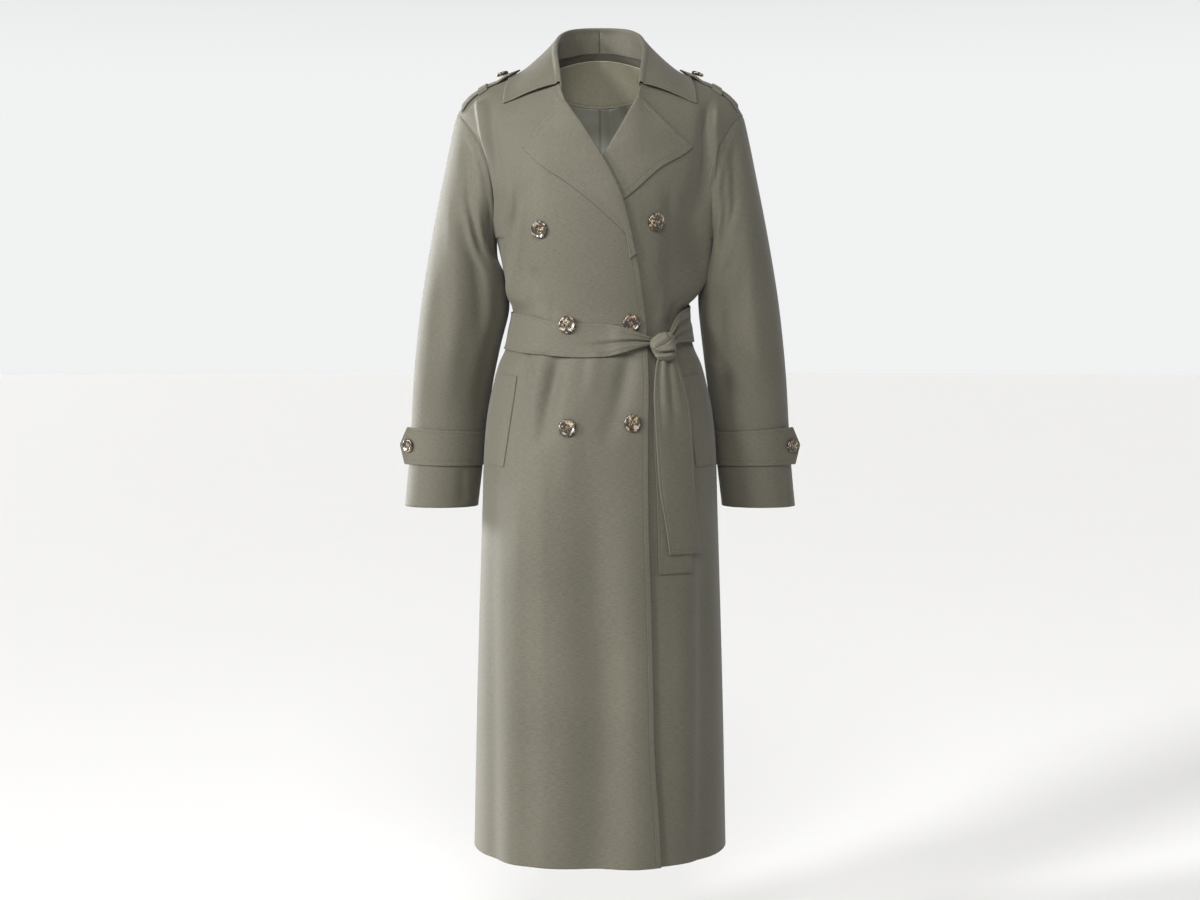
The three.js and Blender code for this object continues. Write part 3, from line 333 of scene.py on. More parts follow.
    def base(self, angle: Array, z: Array, side: Array | float) -> Array:
        """Points of the plain body.

        Args:
            angle: angles from the middle line.
            z: heights.
            side: -1 on the front, 1 on the back.

        Returns:
            x = half width times sine; y = middle plus side times depth, profile and the shoulder's quarter
            circle sqrt(1 - (1 - drop) squared), where drop is the depth below the shoulder over its rounding.
        """
        x = self.half(z) * np.sin(angle)
        drop = np.clip((self.shoulder(x) - z) / self.shoulder_round, 0, 1)
        y = self.mid(z) + side * self.depth(z, side) * self.profile(angle) * np.sqrt(1 - (1 - drop) ** 2)
        return xyz(x, y, z)

    def normal(self, angle: Array, z: Array, side: Array | float) -> Array:
        """Outward directions of the plain body, from small steps in angle and height."""
        a = np.clip(angle, -QUARTER_TURN + 0.01, QUARTER_TURN - 0.01)
        z = np.asarray(z, float)
        across = self.base(a + 0.01, z, side) - self.base(a - 0.01, z, side)
        rise = self.base(a, z + 1.5, side) - self.base(a, z - 1.5, side)
        n = unit(np.cross(across, rise))
        level = (np.abs(n[..., 1]) < 1e-6) & (n[..., 0] * np.sin(angle) < 0)
        return np.where(((n[..., 1] * side < 0) | level)[..., None], -n, n)

    def fold(self, angle: Array, x: Array, z: Array, side: Array | float) -> Array:
        """Rise of all creases at a place, faded at the shoulder, the side seam and the armhole."""
        out = np.zeros(np.broadcast(angle, x, z, np.asarray(side)).shape)
        shoulder = ease(6, 40, self.shoulder(x) - z)
        edge = ease(QUARTER_TURN, QUARTER_TURN - 0.2, np.abs(angle))
        room = self.armhole(z) - np.abs(x)
        above = z > self.armpit
        wide = np.where(above, ease(2, 20, room), 1.0)
        close = np.where(above, ease(-1, 9, room), 1.0)
        soft = ease(2, 22, self.shoulder(x) - z) * ease(QUARTER_TURN, QUARTER_TURN - 0.1, np.abs(angle))
        for part, folds, creases in ((-1, self.front_folds, self.front_creases),
                                     (1, self.back_folds, self.back_creases)):
            here = sum(f(x, z) for f in folds) * shoulder * edge * wide
            here = here + sum(c(x, z) for c in creases) * soft * close
            out = np.where(np.broadcast_to(side, out.shape) == part, here, out)
        return out

    def skin(self, angle: Array, z: Array, side: Array | float, out: Array | float = 0.0,
             lapped: bool = False) -> Array:
        """Points of the cloth's outer face, moved out by a distance.

        Args:
            angle: angles from the middle line.
            z: heights.
            side: -1 on the front, 1 on the back.
            out: distance off the cloth's face.
            lapped: True on the right front, which lies over the left one.

        Returns:
            The plain body's points moved along its outward direction by the creases, the lap and out.
        """
        base = self.base(angle, z, side)
        rise = self.fold(angle, base[..., 0], z, side) + out
        if lapped:
            rise = rise + self.lap * ease(-108, -74, base[..., 0]) * ease(-96, -140, z)
        moved = base + self.normal(angle, z, side) * rise[..., None]
        if np.ndim(side) == 0 and side < 0:
            moved = moved + self.billow(angle, z)
        return moved

    def billow(self, angle: Array, z: Array) -> Array:
        """Sideways move of the fronts where they hang full beside the armholes and over the belt.

        Args:
            angle: angles from the middle line.
            z: heights.

        Returns:
            Outward moves: a bell of the angle round a line just before the armhole or the side seam, times
            the table's amount, brought back to nothing at the seam itself.
        """
        angle, z = np.broadcast_arrays(np.asarray(angle, float), np.asarray(z, float))
        start = np.where(z > self.armpit, self.angle(self.armhole(z), z), QUARTER_TURN)
        lip = np.minimum(1.1, start - 0.1)
        a, sign = np.abs(angle), np.sign(angle)
        bell = hump(a - lip, np.where(a < lip, 0.19, 0.3)) * ease(start, start - 0.07, a)
        amount = np.maximum(0, np.where(sign < 0, self.billow_right(z), self.billow_left(z))) * bell
        return xyz(sign * amount, np.where(sign < 0, 0.0, 0.8) * amount, 0 * amount)

    def on_front(self, x: Array, z: Array, out: Array | float = 0.0, lapped: bool = False) -> Array:
        """Points on the fronts by their distance from the middle."""
        x, z = np.broadcast_arrays(np.asarray(x, float), np.asarray(z, float))
        return self.skin(self.angle(x, z), z, -1, out, lapped)

    def clear(self, p: Array, distance: float) -> Array:
        """Moves points that lie closer to the body than a distance straight away from the shoulder's middle."""
        x, y, z = p[..., 0], p[..., 1], p[..., 2]
        zc = self.shoulder(x) - self.shoulder_round
        mid = self.mid(z)
        depth = np.where(y < mid, self.front(z), self.back(z)) * self.profile(self.angle(x, z))
        r = np.hypot((y - mid) / depth, (z - zc) / self.shoulder_round)
        span = np.hypot(y - mid, z - zc)
        scale = np.maximum(1, (1 + distance / (span / r)) / r)
        return xyz(x, mid + (y - mid) * scale, zc + (z - zc) * scale)

    def shoulder_height(self, x: Array, y: Array) -> Array:
        """Height of the body over a place on the shoulder, by halving the span between two heights."""
        top = self.shoulder(x)
        side = np.where(y < self.mid(top), -1.0, 1.0)
        high, low = top.copy(), top - 70
        for _ in range(30):
            z = (high + low) / 2
            outside = (self.base(self.angle(x, z), z, side)[..., 1] - y) * side > 0
            low = np.where(outside, z, low)
            high = np.where(outside, high, z)
        return high

    def shoulder_top(self, x: Array, y: Array, out: Array | float) -> Array:
        """Points over the shoulder, moved out by a distance along the slope's upward direction."""
        x, y = np.broadcast_arrays(np.asarray(x, float), np.asarray(y, float))
        slope_x = (self.shoulder_height(x + 2, y) - self.shoulder_height(x - 2, y)) / 4
        slope_y = (self.shoulder_height(x, y + 4) - self.shoulder_height(x, y - 4)) / 8
        n = unit(xyz(-slope_x, -slope_y, 1))
        return xyz(x, y, self.shoulder_height(x, y)) + n * np.broadcast_to(out, x.shape)[..., None]


# Shader sockets and finishes.
class Socket:
    """A node's output with arithmetic: values add Math nodes, colours Mix nodes and vectors Vector Math."""

    def __init__(self, bench: "Bench", link: bpy.types.NodeSocket) -> None:
        """Wraps one output of a node on a bench."""
        self.bench = bench
        self.link = link

    def _with(self, word: str, a: object, b: object) -> "Socket":
        """Adds the node that does one operation on two operands, by this socket's own kind."""
        kind = self.link.type
        if kind == "RGBA":
            made = self.bench.node("ShaderNodeMix", {"data_type": "RGBA", "blend_type": word},
                                   {"Factor_Float": 1.0, "A_Color": a, "B_Color": b})
            return made["Result_Color"]
        if kind == "VECTOR":
            pair = [(v, v, v) if isinstance(v, (int, float)) else v for v in (a, b)]
            return self.bench.node("ShaderNodeVectorMath", {"operation": word}, {0: pair[0], 1: pair[1]})["Vector"]
        return self.bench.node("ShaderNodeMath", {"operation": word}, {0: a, 1: b})["Value"]

    def __add__(self, other: object) -> "Socket":
        """Sum."""
        return self._with("ADD", self, other)

    def __radd__(self, other: object) -> "Socket":
        """Sum with the socket on the right."""
        return self._with("ADD", other, self)

    def __sub__(self, other: object) -> "Socket":
        """Difference."""
        return self._with("SUBTRACT", self, other)

    def __rsub__(self, other: object) -> "Socket":
        """Difference with the socket on the right."""
        return self._with("SUBTRACT", other, self)

    def __mul__(self, other: object) -> "Socket":
        """Product."""
        return self._with("MULTIPLY", self, other)

    def __rmul__(self, other: object) -> "Socket":
        """Product with the socket on the right."""
        return self._with("MULTIPLY", other, self)

    def __truediv__(self, other: object) -> "Socket":
        """Quotient."""
        return self._with("DIVIDE", self, other)

    def __rtruediv__(self, other: object) -> "Socket":
        """Quotient with the socket on the right."""
        return self._with("DIVIDE", other, self)

    def sine(self) -> "Socket":
        """Sine of a value."""
        return self.bench.node("ShaderNodeMath", {"operation": "SINE"}, {0: self})["Value"]

    def step(self, low: float, high: float) -> "Socket":
        """Smooth step of a value from 0 at low to 1 at high."""
        made = self.bench.node("ShaderNodeMapRange", {"interpolation_type": "SMOOTHSTEP"},
                               {"Value": self, "From Min": low, "From Max": high})
        return made["Result"]


class Bench:
    """One material or sky and the nodes on it."""

    def __init__(self, name: str, sky: bool = False) -> None:
        """Starts an empty material, or an empty sky."""
        self.material = (bpy.data.worlds if sky else bpy.data.materials).new(name)
        self.material.use_nodes = True
        self.tree = self.material.node_tree
        self.tree.nodes.clear()

    def node(self, kind: str, settings: dict | None = None, sockets: dict | None = None) -> dict[str, Socket]:
        """Adds one node.

        Args:
            kind: the node's type.
            settings: its properties, set before its sockets.
            sockets: values or Sockets by the input's identifier, name or place.

        Returns:
            The node's outputs by identifier and by name.
        """
        made = self.tree.nodes.new(kind)
        for key, value in (settings or {}).items():
            setattr(made, key, value)
        for key, value in (sockets or {}).items():
            if isinstance(key, int):
                entry = made.inputs[key]
            else:
                entry = next(s for s in made.inputs if key in (s.identifier, s.name))
            if isinstance(value, Socket):
                self.tree.links.new(value.link, entry)
            elif entry.type == "RGBA" and len(value) == 3:
                entry.default_value = (*value, 1.0)
            else:
                entry.default_value = value
        out = {s.identifier: Socket(self, s) for s in made.outputs}
        out.update({s.name: Socket(self, s) for s in made.outputs if s.enabled})
        return out

    def noise(self, vector: Socket, scale: float, detail: float = 2.0, rough: float = 0.5) -> Socket:
        """Fractal noise value over a vector."""
        return self.node("ShaderNodeTexNoise", {}, {"Vector": vector, "Scale": scale, "Detail": detail,
                                                    "Roughness": rough})["Fac"]

    def blend(self, share: Socket, a: object, b: object) -> Socket:
        """Colour between a and b by a share from 0 to 1."""
        return self.node("ShaderNodeMix", {"data_type": "RGBA", "blend_type": "MIX"},
                         {"Factor_Float": share, "A_Color": a, "B_Color": b})["Result_Color"]

    def finish(self, sockets: dict) -> bpy.types.Material:
        """Closes the material with one principled surface.

        Args:
            sockets: the principled shader's inputs.

        Returns:
            The finished material.
        """
        shader = self.node("ShaderNodeBsdfPrincipled", {}, sockets)["BSDF"]
        self.node("ShaderNodeOutputMaterial", {}, {"Surface": shader})
        return self.material


@dataclass(frozen=True)
class Twill:
    """Fine grey-olive twill with a soft melange: ribs run aslant to the grain, threads differ a little in tone."""

    name: str = "grey_olive_twill"
    dark: tuple = (0.056, 0.053, 0.038)
    light: tuple = (0.090, 0.084, 0.063)
    rib: float = 0.00115
    roughness: float = 0.7
    sheen: float = 0.12

    def material(self) -> bpy.types.Material:
        """Makes the material on the cloth's own map, which is in metres of cloth.

        Returns:
            Colour from streaked thread noise, a wide cloud and painted shade darkening the stitched channels' dips;
            bump from the sine of (u + v) over the rib's width and the same threads.
        """
        b = Bench(self.name)
        grain = b.node("ShaderNodeUVMap", {"uv_map": "cloth"})["UV"]
        parts = b.node("ShaderNodeSeparateXYZ", {}, {"Vector": grain})
        weft = b.noise(grain * (130.0, 950.0, 0.0), 1.0, 2.0, 0.6)
        warp = b.noise(grain * (1100.0, 160.0, 0.0), 1.0, 2.0, 0.6)
        place = b.node("ShaderNodeTexCoord")["Object"]
        cloud = b.noise(place, 5.0, 3.0, 0.55)
        threads = weft * 0.55 + warp * 0.3 + cloud * 0.25 - 0.05
        channel = b.node("ShaderNodeAttribute", {"attribute_name": "seam"})["Fac"]
        tone = b.blend(threads.step(0.28, 0.72), self.dark, self.light)
        # Painted shade: the stitched channels' dips, by the seam attribute's share, are darkened towards 0.7 of the
        # dark tone.
        tone = b.blend(channel * 0.25, tone, tuple(0.7 * c for c in self.dark))
        ribs = ((parts["X"] + parts["Y"]) * (2 * np.pi / self.rib)).sine()
        height = ribs * 0.35 + weft * 0.9 + warp * 0.6
        normal = b.node("ShaderNodeBump", {}, {"Strength": 0.28, "Distance": 0.00022, "Height": height})["Normal"]
        return b.finish({"Base Color": tone, "Roughness": self.roughness, "Specular IOR Level": 0.32,
                         "Sheen Weight": self.sheen, "Sheen Roughness": 0.45, "Normal": normal})


@dataclass(frozen=True)
class Satin:
    """Smooth lining, finely ribbed along the weft and softly clouded: bluish grey-green, lightened as painted light.
    """

    name: str = "lining_satin"
    # The lining's own bluish grey-green, set lighter to stand in for light that the inside of the coat doesn't get:
    # partly its colour, partly painted light.
    dark: tuple = (0.125, 0.127, 0.103)
    light: tuple = (0.2, 0.203, 0.168)
    roughness: float = 0.4

    def material(self) -> bpy.types.Material:
        """Makes the material: cloud and fine thread noise drive colour and bump; the seam's dip gets painted shade.
        """
        b = Bench(self.name)
        grain = b.node("ShaderNodeUVMap", {"uv_map": "cloth"})["UV"]
        thread = b.noise(grain * (260.0, 1800.0, 0.0), 1.0, 1.0, 0.5)
        cloud = b.noise(grain, 14.0, 2.0, 0.5)
        channel = b.node("ShaderNodeAttribute", {"attribute_name": "seam"})["Fac"]
        tone = b.blend((thread * 0.4 + cloud * 0.6).step(0.3, 0.7), self.dark, self.light)
        # Painted shade: the seam's dip is darkened towards 0.4 of the dark tone.
        tone = b.blend(channel * 0.6, tone, tuple(0.4 * c for c in self.dark))
        normal = b.node("ShaderNodeBump", {}, {"Strength": 0.2, "Distance": 0.0001, "Height": thread})["Normal"]
        return b.finish({"Base Color": tone, "Roughness": self.roughness, "Specular IOR Level": 0.5,
                         "Sheen Weight": 0.2, "Sheen Roughness": 0.3, "Normal": normal})


@dataclass(frozen=True)
class Tortoiseshell:
    """Polished button shell: cream and honey ground with brown and near-black patches."""

    name: str = "tortoiseshell"
    cream: tuple = (0.34, 0.27, 0.16)
    honey: tuple = (0.16, 0.105, 0.055)
    brown: tuple = (0.035, 0.021, 0.013)
    black: tuple = (0.01, 0.007, 0.006)

    def material(self) -> bpy.types.Material:
        """Makes the material: two noises cut the patches, a third tints the ground."""
        b = Bench(self.name)
        place = b.node("ShaderNodeTexCoord")["Object"]
        patch = b.noise(place, 215.0, 3.0, 0.55)
        cloud = b.noise(place + (0.31, 0.17, 0.08), 120.0, 2.0, 0.5)
        fleck = b.noise(place + (0.7, 0.2, 0.5), 420.0, 2.0, 0.5)
        ground = b.blend(cloud.step(0.38, 0.66), self.cream, self.honey)
        tone = b.blend(patch.step(0.42, 0.47), ground, self.brown)
        tone = b.blend(patch.step(0.49, 0.54), tone, self.black)
        tone = b.blend(fleck.step(0.56, 0.62) * 0.85, tone, self.brown)
        normal = b.node("ShaderNodeBump", {}, {"Strength": 0.15, "Distance": 0.0003, "Height": cloud})["Normal"]
        return b.finish({"Base Color": tone, "Roughness": 0.24, "Specular IOR Level": 0.55,
                         "Coat Weight": 0.5, "Coat Roughness": 0.12, "Normal": normal})


@dataclass(frozen=True)
class Thread:
    """Sewing thread in the cloth's tone, a little lighter, with a fine twist."""

    name: str = "sewing_thread"
    dark: tuple = (0.135, 0.128, 0.092)
    light: tuple = (0.225, 0.212, 0.158)

    def material(self) -> bpy.types.Material:
        """Makes the material: fine noise drives colour and bump."""
        b = Bench(self.name)
        place = b.node("ShaderNodeTexCoord")["Object"]
        twist = b.noise(place, 1900.0, 1.0, 0.5)
        tone = b.blend(twist.step(0.3, 0.7), self.dark, self.light)
        normal = b.node("ShaderNodeBump", {}, {"Strength": 0.2, "Distance": 0.0001, "Height": twist})["Normal"]
        return b.finish({"Base Color": tone, "Roughness": 0.6, "Specular IOR Level": 0.3, "Normal": normal})


@dataclass(frozen=True)
class StudioPaper:
    """Plain pale floor, matt and faintly mottled."""

    name: str = "studio_paper"
    tone: tuple = (0.8, 0.8, 0.795)

    def material(self) -> bpy.types.Material:
        """Makes the material: one pale tone that a wide noise shades by a hundredth."""
        b = Bench(self.name)
        place = b.node("ShaderNodeTexCoord")["Object"]
        tone = b.blend(b.noise(place, 2.0), self.tone, tuple(0.985 * c for c in self.tone))
        return b.finish({"Base Color": tone, "Roughness": 0.9, "Specular IOR Level": 0.1})


class Finishes:
    """The coat's materials, made once."""

    def __init__(self) -> None:
        """Makes each finish's material."""
        self.twill = Twill().material()
        # Painted light: the neck facing is the same twill, painted about three times lighter to stand in for light
        # that the collar keeps from the inside.
        self.facing = Twill("neck_facing_twill_painted_light", (0.19, 0.18, 0.13), (0.26, 0.246, 0.18)).material()
        self.lining = Satin().material()
        self.shell = Tortoiseshell().material()
        self.thread = Thread().material()


# Cloth on a grid.
def grid_normals(points: Array, around: bool = False) -> Array:
    """Directions square to a grid: the product of its steps across and along, wrapped where it closes."""
    along = np.gradient(points, axis=0)
    if around:
        across = (np.roll(points, -1, 1) - np.roll(points, 1, 1)) / 2
    else:
        across = np.gradient(points, axis=1)
    return unit(np.cross(across, along))


def border_distance(points: Array, border: Border) -> Array:
    """Length of cloth between each grid point and a border, summed along the grid's own lines."""
    axis = 0 if border in (Border.FIRST_ROW, Border.LAST_ROW) else 1
    steps = np.linalg.norm(np.diff(points, axis=axis), axis=-1)
    pad = [(0, 0), (0, 0)]
    pad[axis] = (1, 0)
    run = np.cumsum(np.pad(steps, pad), axis=axis)
    if border in (Border.LAST_ROW, Border.LAST_COLUMN):
        return np.take(run, [-1], axis=axis) - run
    return run


@dataclass(frozen=True)
class Channel:
    """A stitched line at a distance from a border, with the dip that the thread pulls into the cloth."""

    border: Border
    distance: float
    dip: float = 0.3
    width: float = 1.15


@dataclass
class Cloth:
    """One piece of cloth as a grid of points on its outer face, in millimetres.

    away is a direction or directions that the outer face looks along; around says that the grid's columns
    close into a tube.
    """

    name: str
    points: Array
    away: Array
    wall: float = 1.5
    around: bool = False
    # Share of each point that lies in a stitched channel or seam; the finishes darken the cloth there as painted
    # shade.
    shade_marks: Array | None = None

    def __post_init__(self) -> None:
        """Works out the outer face's directions."""
        self.refresh()

    def refresh(self) -> None:
        """Takes the directions square to the grid again, turned the way that most of them agree with away."""
        self.square = grid_normals(self.points, self.around)
        self.turn = 1.0 if float((self.square * self.away).sum()) >= 0 else -1.0
        if self.shade_marks is None:
            self.shade_marks = np.zeros(self.points.shape[:2])

    def press(self, channels: tuple[Channel, ...]) -> "Cloth":
        """Presses stitched channels into the outer face.

        Args:
            channels: the lines to press.

        Returns:
            The same cloth; each dip is depth times exp(-((distance - line) / width) squared).
        """
        dip = np.zeros(self.points.shape[:2])
        for c in channels:
            bell = hump(border_distance(self.points, c.border) - c.distance, c.width)
            dip = np.maximum(dip, c.dip * bell)
            # Each channel's bell is also kept for the painted shade that darkens its dip.
            self.shade_marks = np.maximum(self.shade_marks, bell)
        self.points = self.points - self.turn * self.square * dip[..., None]
        self.refresh()
        return self

    def dent(self, line: Channel) -> None:
        """Presses one faint line, as press does, without marking it for the painted shade of stitched channels."""
        away = border_distance(self.points, line.border) - line.distance
        self.points = self.points - self.turn * self.square * (line.dip * hump(away, line.width))[..., None]
        self.refresh()

    def line(self, channel: Channel, trim: tuple[float, float] = (0, 0)) -> tuple[Array, Array]:
        """Points and outward directions along a stitched line.

        Args:
            channel: the line's border and distance.
            trim: shares of the line left out at its start and end.

        Returns:
            Points and directions, each blended between the two grid lines on either side of the distance.
        """
        run = border_distance(self.points, channel.border)
        points, square = self.points, self.square * self.turn
        if channel.border in (Border.LAST_ROW, Border.LAST_COLUMN):
            axis = 0 if channel.border is Border.LAST_ROW else 1
            run, points, square = (np.flip(v, axis) for v in (run, points, square))
        if channel.border in (Border.FIRST_COLUMN, Border.LAST_COLUMN):
            run, points, square = (np.swapaxes(v, 0, 1) for v in (run, points, square))
        i = np.clip((run < channel.distance).sum(axis=0) - 1, 0, len(run) - 2)
        k = np.arange(run.shape[1])
        t = np.clip((channel.distance - run[i, k]) / np.maximum(run[i + 1, k] - run[i, k], 1e-6), 0, 1)[:, None]
        p = mix(points[i, k], points[i + 1, k], t)
        n = unit(mix(square[i, k], square[i + 1, k], t))
        first, last = int(trim[0] * len(p)), len(p) - int(trim[1] * len(p))
        return p[first:last], n[first:last]

    def build(self, material: bpy.types.Material) -> bpy.types.Object:
        """Makes the closed shell: outer face, inner face one wall behind it, and a rounded rim.

        Args:
            material: the cloth's finish.

        Returns:
            The object, with a map in metres of cloth and an attribute that marks its stitched channels for painted
            shade.
        """
        rows, cols = self.points.shape[:2]
        outer = self.points.reshape(-1, 3)
        square = self.square.reshape(-1, 3)
        inner = outer - self.turn * self.wall * square
        total = rows * cols
        run_across = np.concatenate([[0], np.linalg.norm(
            np.diff(np.concatenate([self.points, self.points[:, :1]], axis=1), axis=1), axis=-1).mean(axis=0)])
        u_at = np.cumsum(run_across) * MM
        v_at = np.concatenate([[0], np.linalg.norm(np.diff(self.points, axis=0), axis=-1).mean(axis=1)])
        v_at = np.cumsum(v_at) * MM
        span = cols if self.around else cols - 1
        r, c = (v.ravel() for v in np.meshgrid(np.arange(rows - 1), np.arange(span), indexing="ij"))
        corner = np.stack([np.stack([r, c], -1), np.stack([r, c + 1], -1),
                           np.stack([r + 1, c + 1], -1), np.stack([r + 1, c], -1)], axis=1)
        ids = corner[..., 0] * cols + corner[..., 1] % cols
        faces, maps = [ids, ids[:, ::-1] + total], [corner, corner[:, ::-1]]
        if self.around:
            ring = np.arange(cols + 1)
            loops = [np.stack([np.zeros(cols + 1, int), ring], -1),
                     np.stack([np.full(cols + 1, rows - 1), ring[::-1]], -1)]
        else:
            a, b = np.arange(cols), np.arange(rows)
            loops = [np.concatenate([
                np.stack([np.zeros(cols, int), a], -1),
                np.stack([b[1:], np.full(rows - 1, cols - 1)], -1),
                np.stack([np.full(cols - 1, rows - 1), a[-2::-1]], -1),
                np.stack([b[-2::-1], np.zeros(rows - 1, int)], -1)])]
        mids, start = [], 2 * total
        for loop in loops:
            at = loop[:, 0] * cols + loop[:, 1] % cols
            ring = at[:-1]
            tangent = outer[np.roll(ring, -1)] - outer[np.roll(ring, 1)]
            beyond = unit(np.cross(tangent, square[ring]))
            mids.append((outer[ring] + inner[ring]) / 2 + beyond * self.wall * 0.42)
            m = start + np.arange(len(ring))
            m_next = np.roll(m, -1)
            p, q = at[:-1], at[1:]
            lp, lq = loop[:-1], loop[1:]
            faces += [np.stack([q, p, m, m_next], 1), np.stack([m_next, m, p + total, q + total], 1)]
            maps += [np.stack([lq, lp, lp, lq], 1)] * 2
            start += len(ring)
        quads, where = np.concatenate(faces), np.concatenate(maps)
        if self.turn < 0:
            quads, where = quads[:, ::-1], where[:, ::-1]
        verts = np.concatenate([outer, inner, *mids]) * MM
        uv = np.stack([u_at[where[..., 1]], v_at[where[..., 0]]], -1)
        shade_marks = self.shade_marks.reshape(-1)
        values = np.concatenate([shade_marks, shade_marks, np.zeros(len(verts) - 2 * total)])
        return mesh_object(self.name, verts, quads, material, uv, values)


def mesh_object(name: str, verts: Array, quads: Array, material: bpy.types.Material,
                uv: Array | None = None, values: Array | None = None) -> bpy.types.Object:
    """Puts arrays into a mesh object at the origin.

    Args:
        name: the object's name.
        verts: corner points in metres.
        quads: corners of each face, shaped (faces, corners).
        material: its finish.
        uv: map places of each face's corners.
        values: the stitched channel's share at each point, where the finishes paint shade into the dip.

    Returns:
        The smooth-shaded object, linked to the scene.
    """
    mesh = bpy.data.meshes.new(name)
    mesh.vertices.add(len(verts))
    mesh.vertices.foreach_set("co", np.ascontiguousarray(verts, dtype=np.float32).ravel())
    mesh.loops.add(quads.size)
    mesh.loops.foreach_set("vertex_index", np.ascontiguousarray(quads, dtype=np.int32).ravel())
    mesh.polygons.add(len(quads))
    mesh.polygons.foreach_set("loop_start", np.arange(0, quads.size, quads.shape[1], dtype=np.int32))
    mesh.update(calc_edges=True)
    mesh.polygons.foreach_set("use_smooth", np.ones(len(quads), dtype=bool))
    if uv is not None:
        layer = mesh.uv_layers.new(name="cloth")
        layer.data.foreach_set("uv", np.ascontiguousarray(uv, dtype=np.float32).ravel())
    if values is not None:
        # The seam attribute is the stitched channels' share, which the finishes darken as painted shade.
        mark = mesh.attributes.new("seam", "FLOAT", "POINT")
        mark.data.foreach_set("value", np.ascontiguousarray(values, dtype=np.float32))
    mesh.materials.append(material)
    mesh.validate()
    made = bpy.data.objects.new(name, mesh)
    bpy.context.scene.collection.objects.link(made)
    return made


def ringed_shell(name: str, rings: Array, ends: list[Array], material: bpy.types.Material) -> bpy.types.Object:
    """Puts closed rings, one after another, into a mesh with a pole at each end.

    Args:
        name: the object's name.
        rings: points in millimetres, shaped (rings, points, 3).
        ends: the poles before the first ring and after the last one.
        material: its finish.

    Returns:
        The smooth-shaded object; where the signed volumes a . (b x c) of its faces' corners, taken from their
        middle, sum below zero, all faces are turned round, so that they look outwards.
    """
    rows, cols = rings.shape[:2]
    verts = np.concatenate([rings.reshape(-1, 3), ends]) * MM
    i, k = (v.ravel() for v in np.meshgrid(np.arange(rows - 1), np.arange(cols), indexing="ij"))
    nxt = (k + 1) % cols
    quads = np.stack([i * cols + k, (i + 1) * cols + k, (i + 1) * cols + nxt, i * cols + nxt], 1)
    k = np.arange(cols)
    nxt = (k + 1) % cols
    last = (rows - 1) * cols
    caps = np.concatenate([np.stack([np.full(cols, rows * cols), k, nxt], 1),
                           np.stack([np.full(cols, rows * cols + 1), last + nxt, last + k], 1)])
    a, b, c = (verts[quads[:, j]] - verts.mean(axis=0) for j in (0, 1, 2))
    if float((a * np.cross(b, c)).sum()) < 0:
        quads, caps = quads[:, ::-1], caps[:, ::-1]
    mesh = bpy.data.meshes.new(name)
    mesh.from_pydata(verts.tolist(), [], quads.tolist() + caps.tolist())
    mesh.polygons.foreach_set("use_smooth", np.ones(len(mesh.polygons), dtype=bool))
    mesh.materials.append(material)
    made = bpy.data.objects.new(name, mesh)
    bpy.context.scene.collection.objects.link(made)
    return made


@dataclass(frozen=True)
class Cut:
    """The flat cut of what shows of a piece: width and length of its rectangle and its area, in metres."""

    width: float
    length: float
    area: float
    held: str
    rests_on: tuple[str, ...] = ()


CUTS: dict[str, Cut] = {
    "front_right_cloth": Cut(0.40, 1.19, 0.35, "hung", ("back_cloth",)),
    "front_left_cloth": Cut(0.40, 1.19, 0.33, "hung", ("back_cloth",)),
    "back_cloth": Cut(0.50, 1.20, 0.55, "hung"),
    "collar_cloth": Cut(0.16, 0.55, 0.055, "folded", ("back_cloth",)),
    "facing_cloth": Cut(0.22, 0.10, 0.015, "hung", ("back_cloth",)),
    "lining_cloth": Cut(0.26, 0.20, 0.04, "hung", ("facing_cloth",)),
    "belt_band_cloth": Cut(0.05, 0.84, 0.038, "gathered", ("front_right_cloth", "front_left_cloth")),
    "tail_front_cloth": Cut(0.054, 0.28, 0.0148, "hung", ("belt_knot_cloth",)),
    "tail_back_cloth": Cut(0.054, 0.29, 0.0148, "hung", ("belt_knot_cloth",)),
}
for _word in (side.word for side in Side):
    CUTS |= {
        f"lapel_{_word}_cloth": Cut(0.12, 0.25, 0.016, "folded", (f"front_{_word}_cloth",)),
        f"welt_{_word}_cloth": Cut(0.06, 0.13, 0.006, "laid", (f"front_{_word}_cloth",)),
        f"sleeve_{_word}_cloth": Cut(0.42, 0.58, 0.18, "hung", ("back_cloth",)),
        f"cuff_strap_{_word}_cloth": Cut(0.05, 0.36, 0.018, "laid", (f"sleeve_{_word}_cloth",)),
        f"epaulette_{_word}_cloth": Cut(0.044, 0.105, 0.0043, "laid", ("back_cloth",)),
        f"keeper_{_word}_cloth": Cut(0.016, 0.058, 0.0009, "laid", (f"epaulette_{_word}_cloth",)),
    }


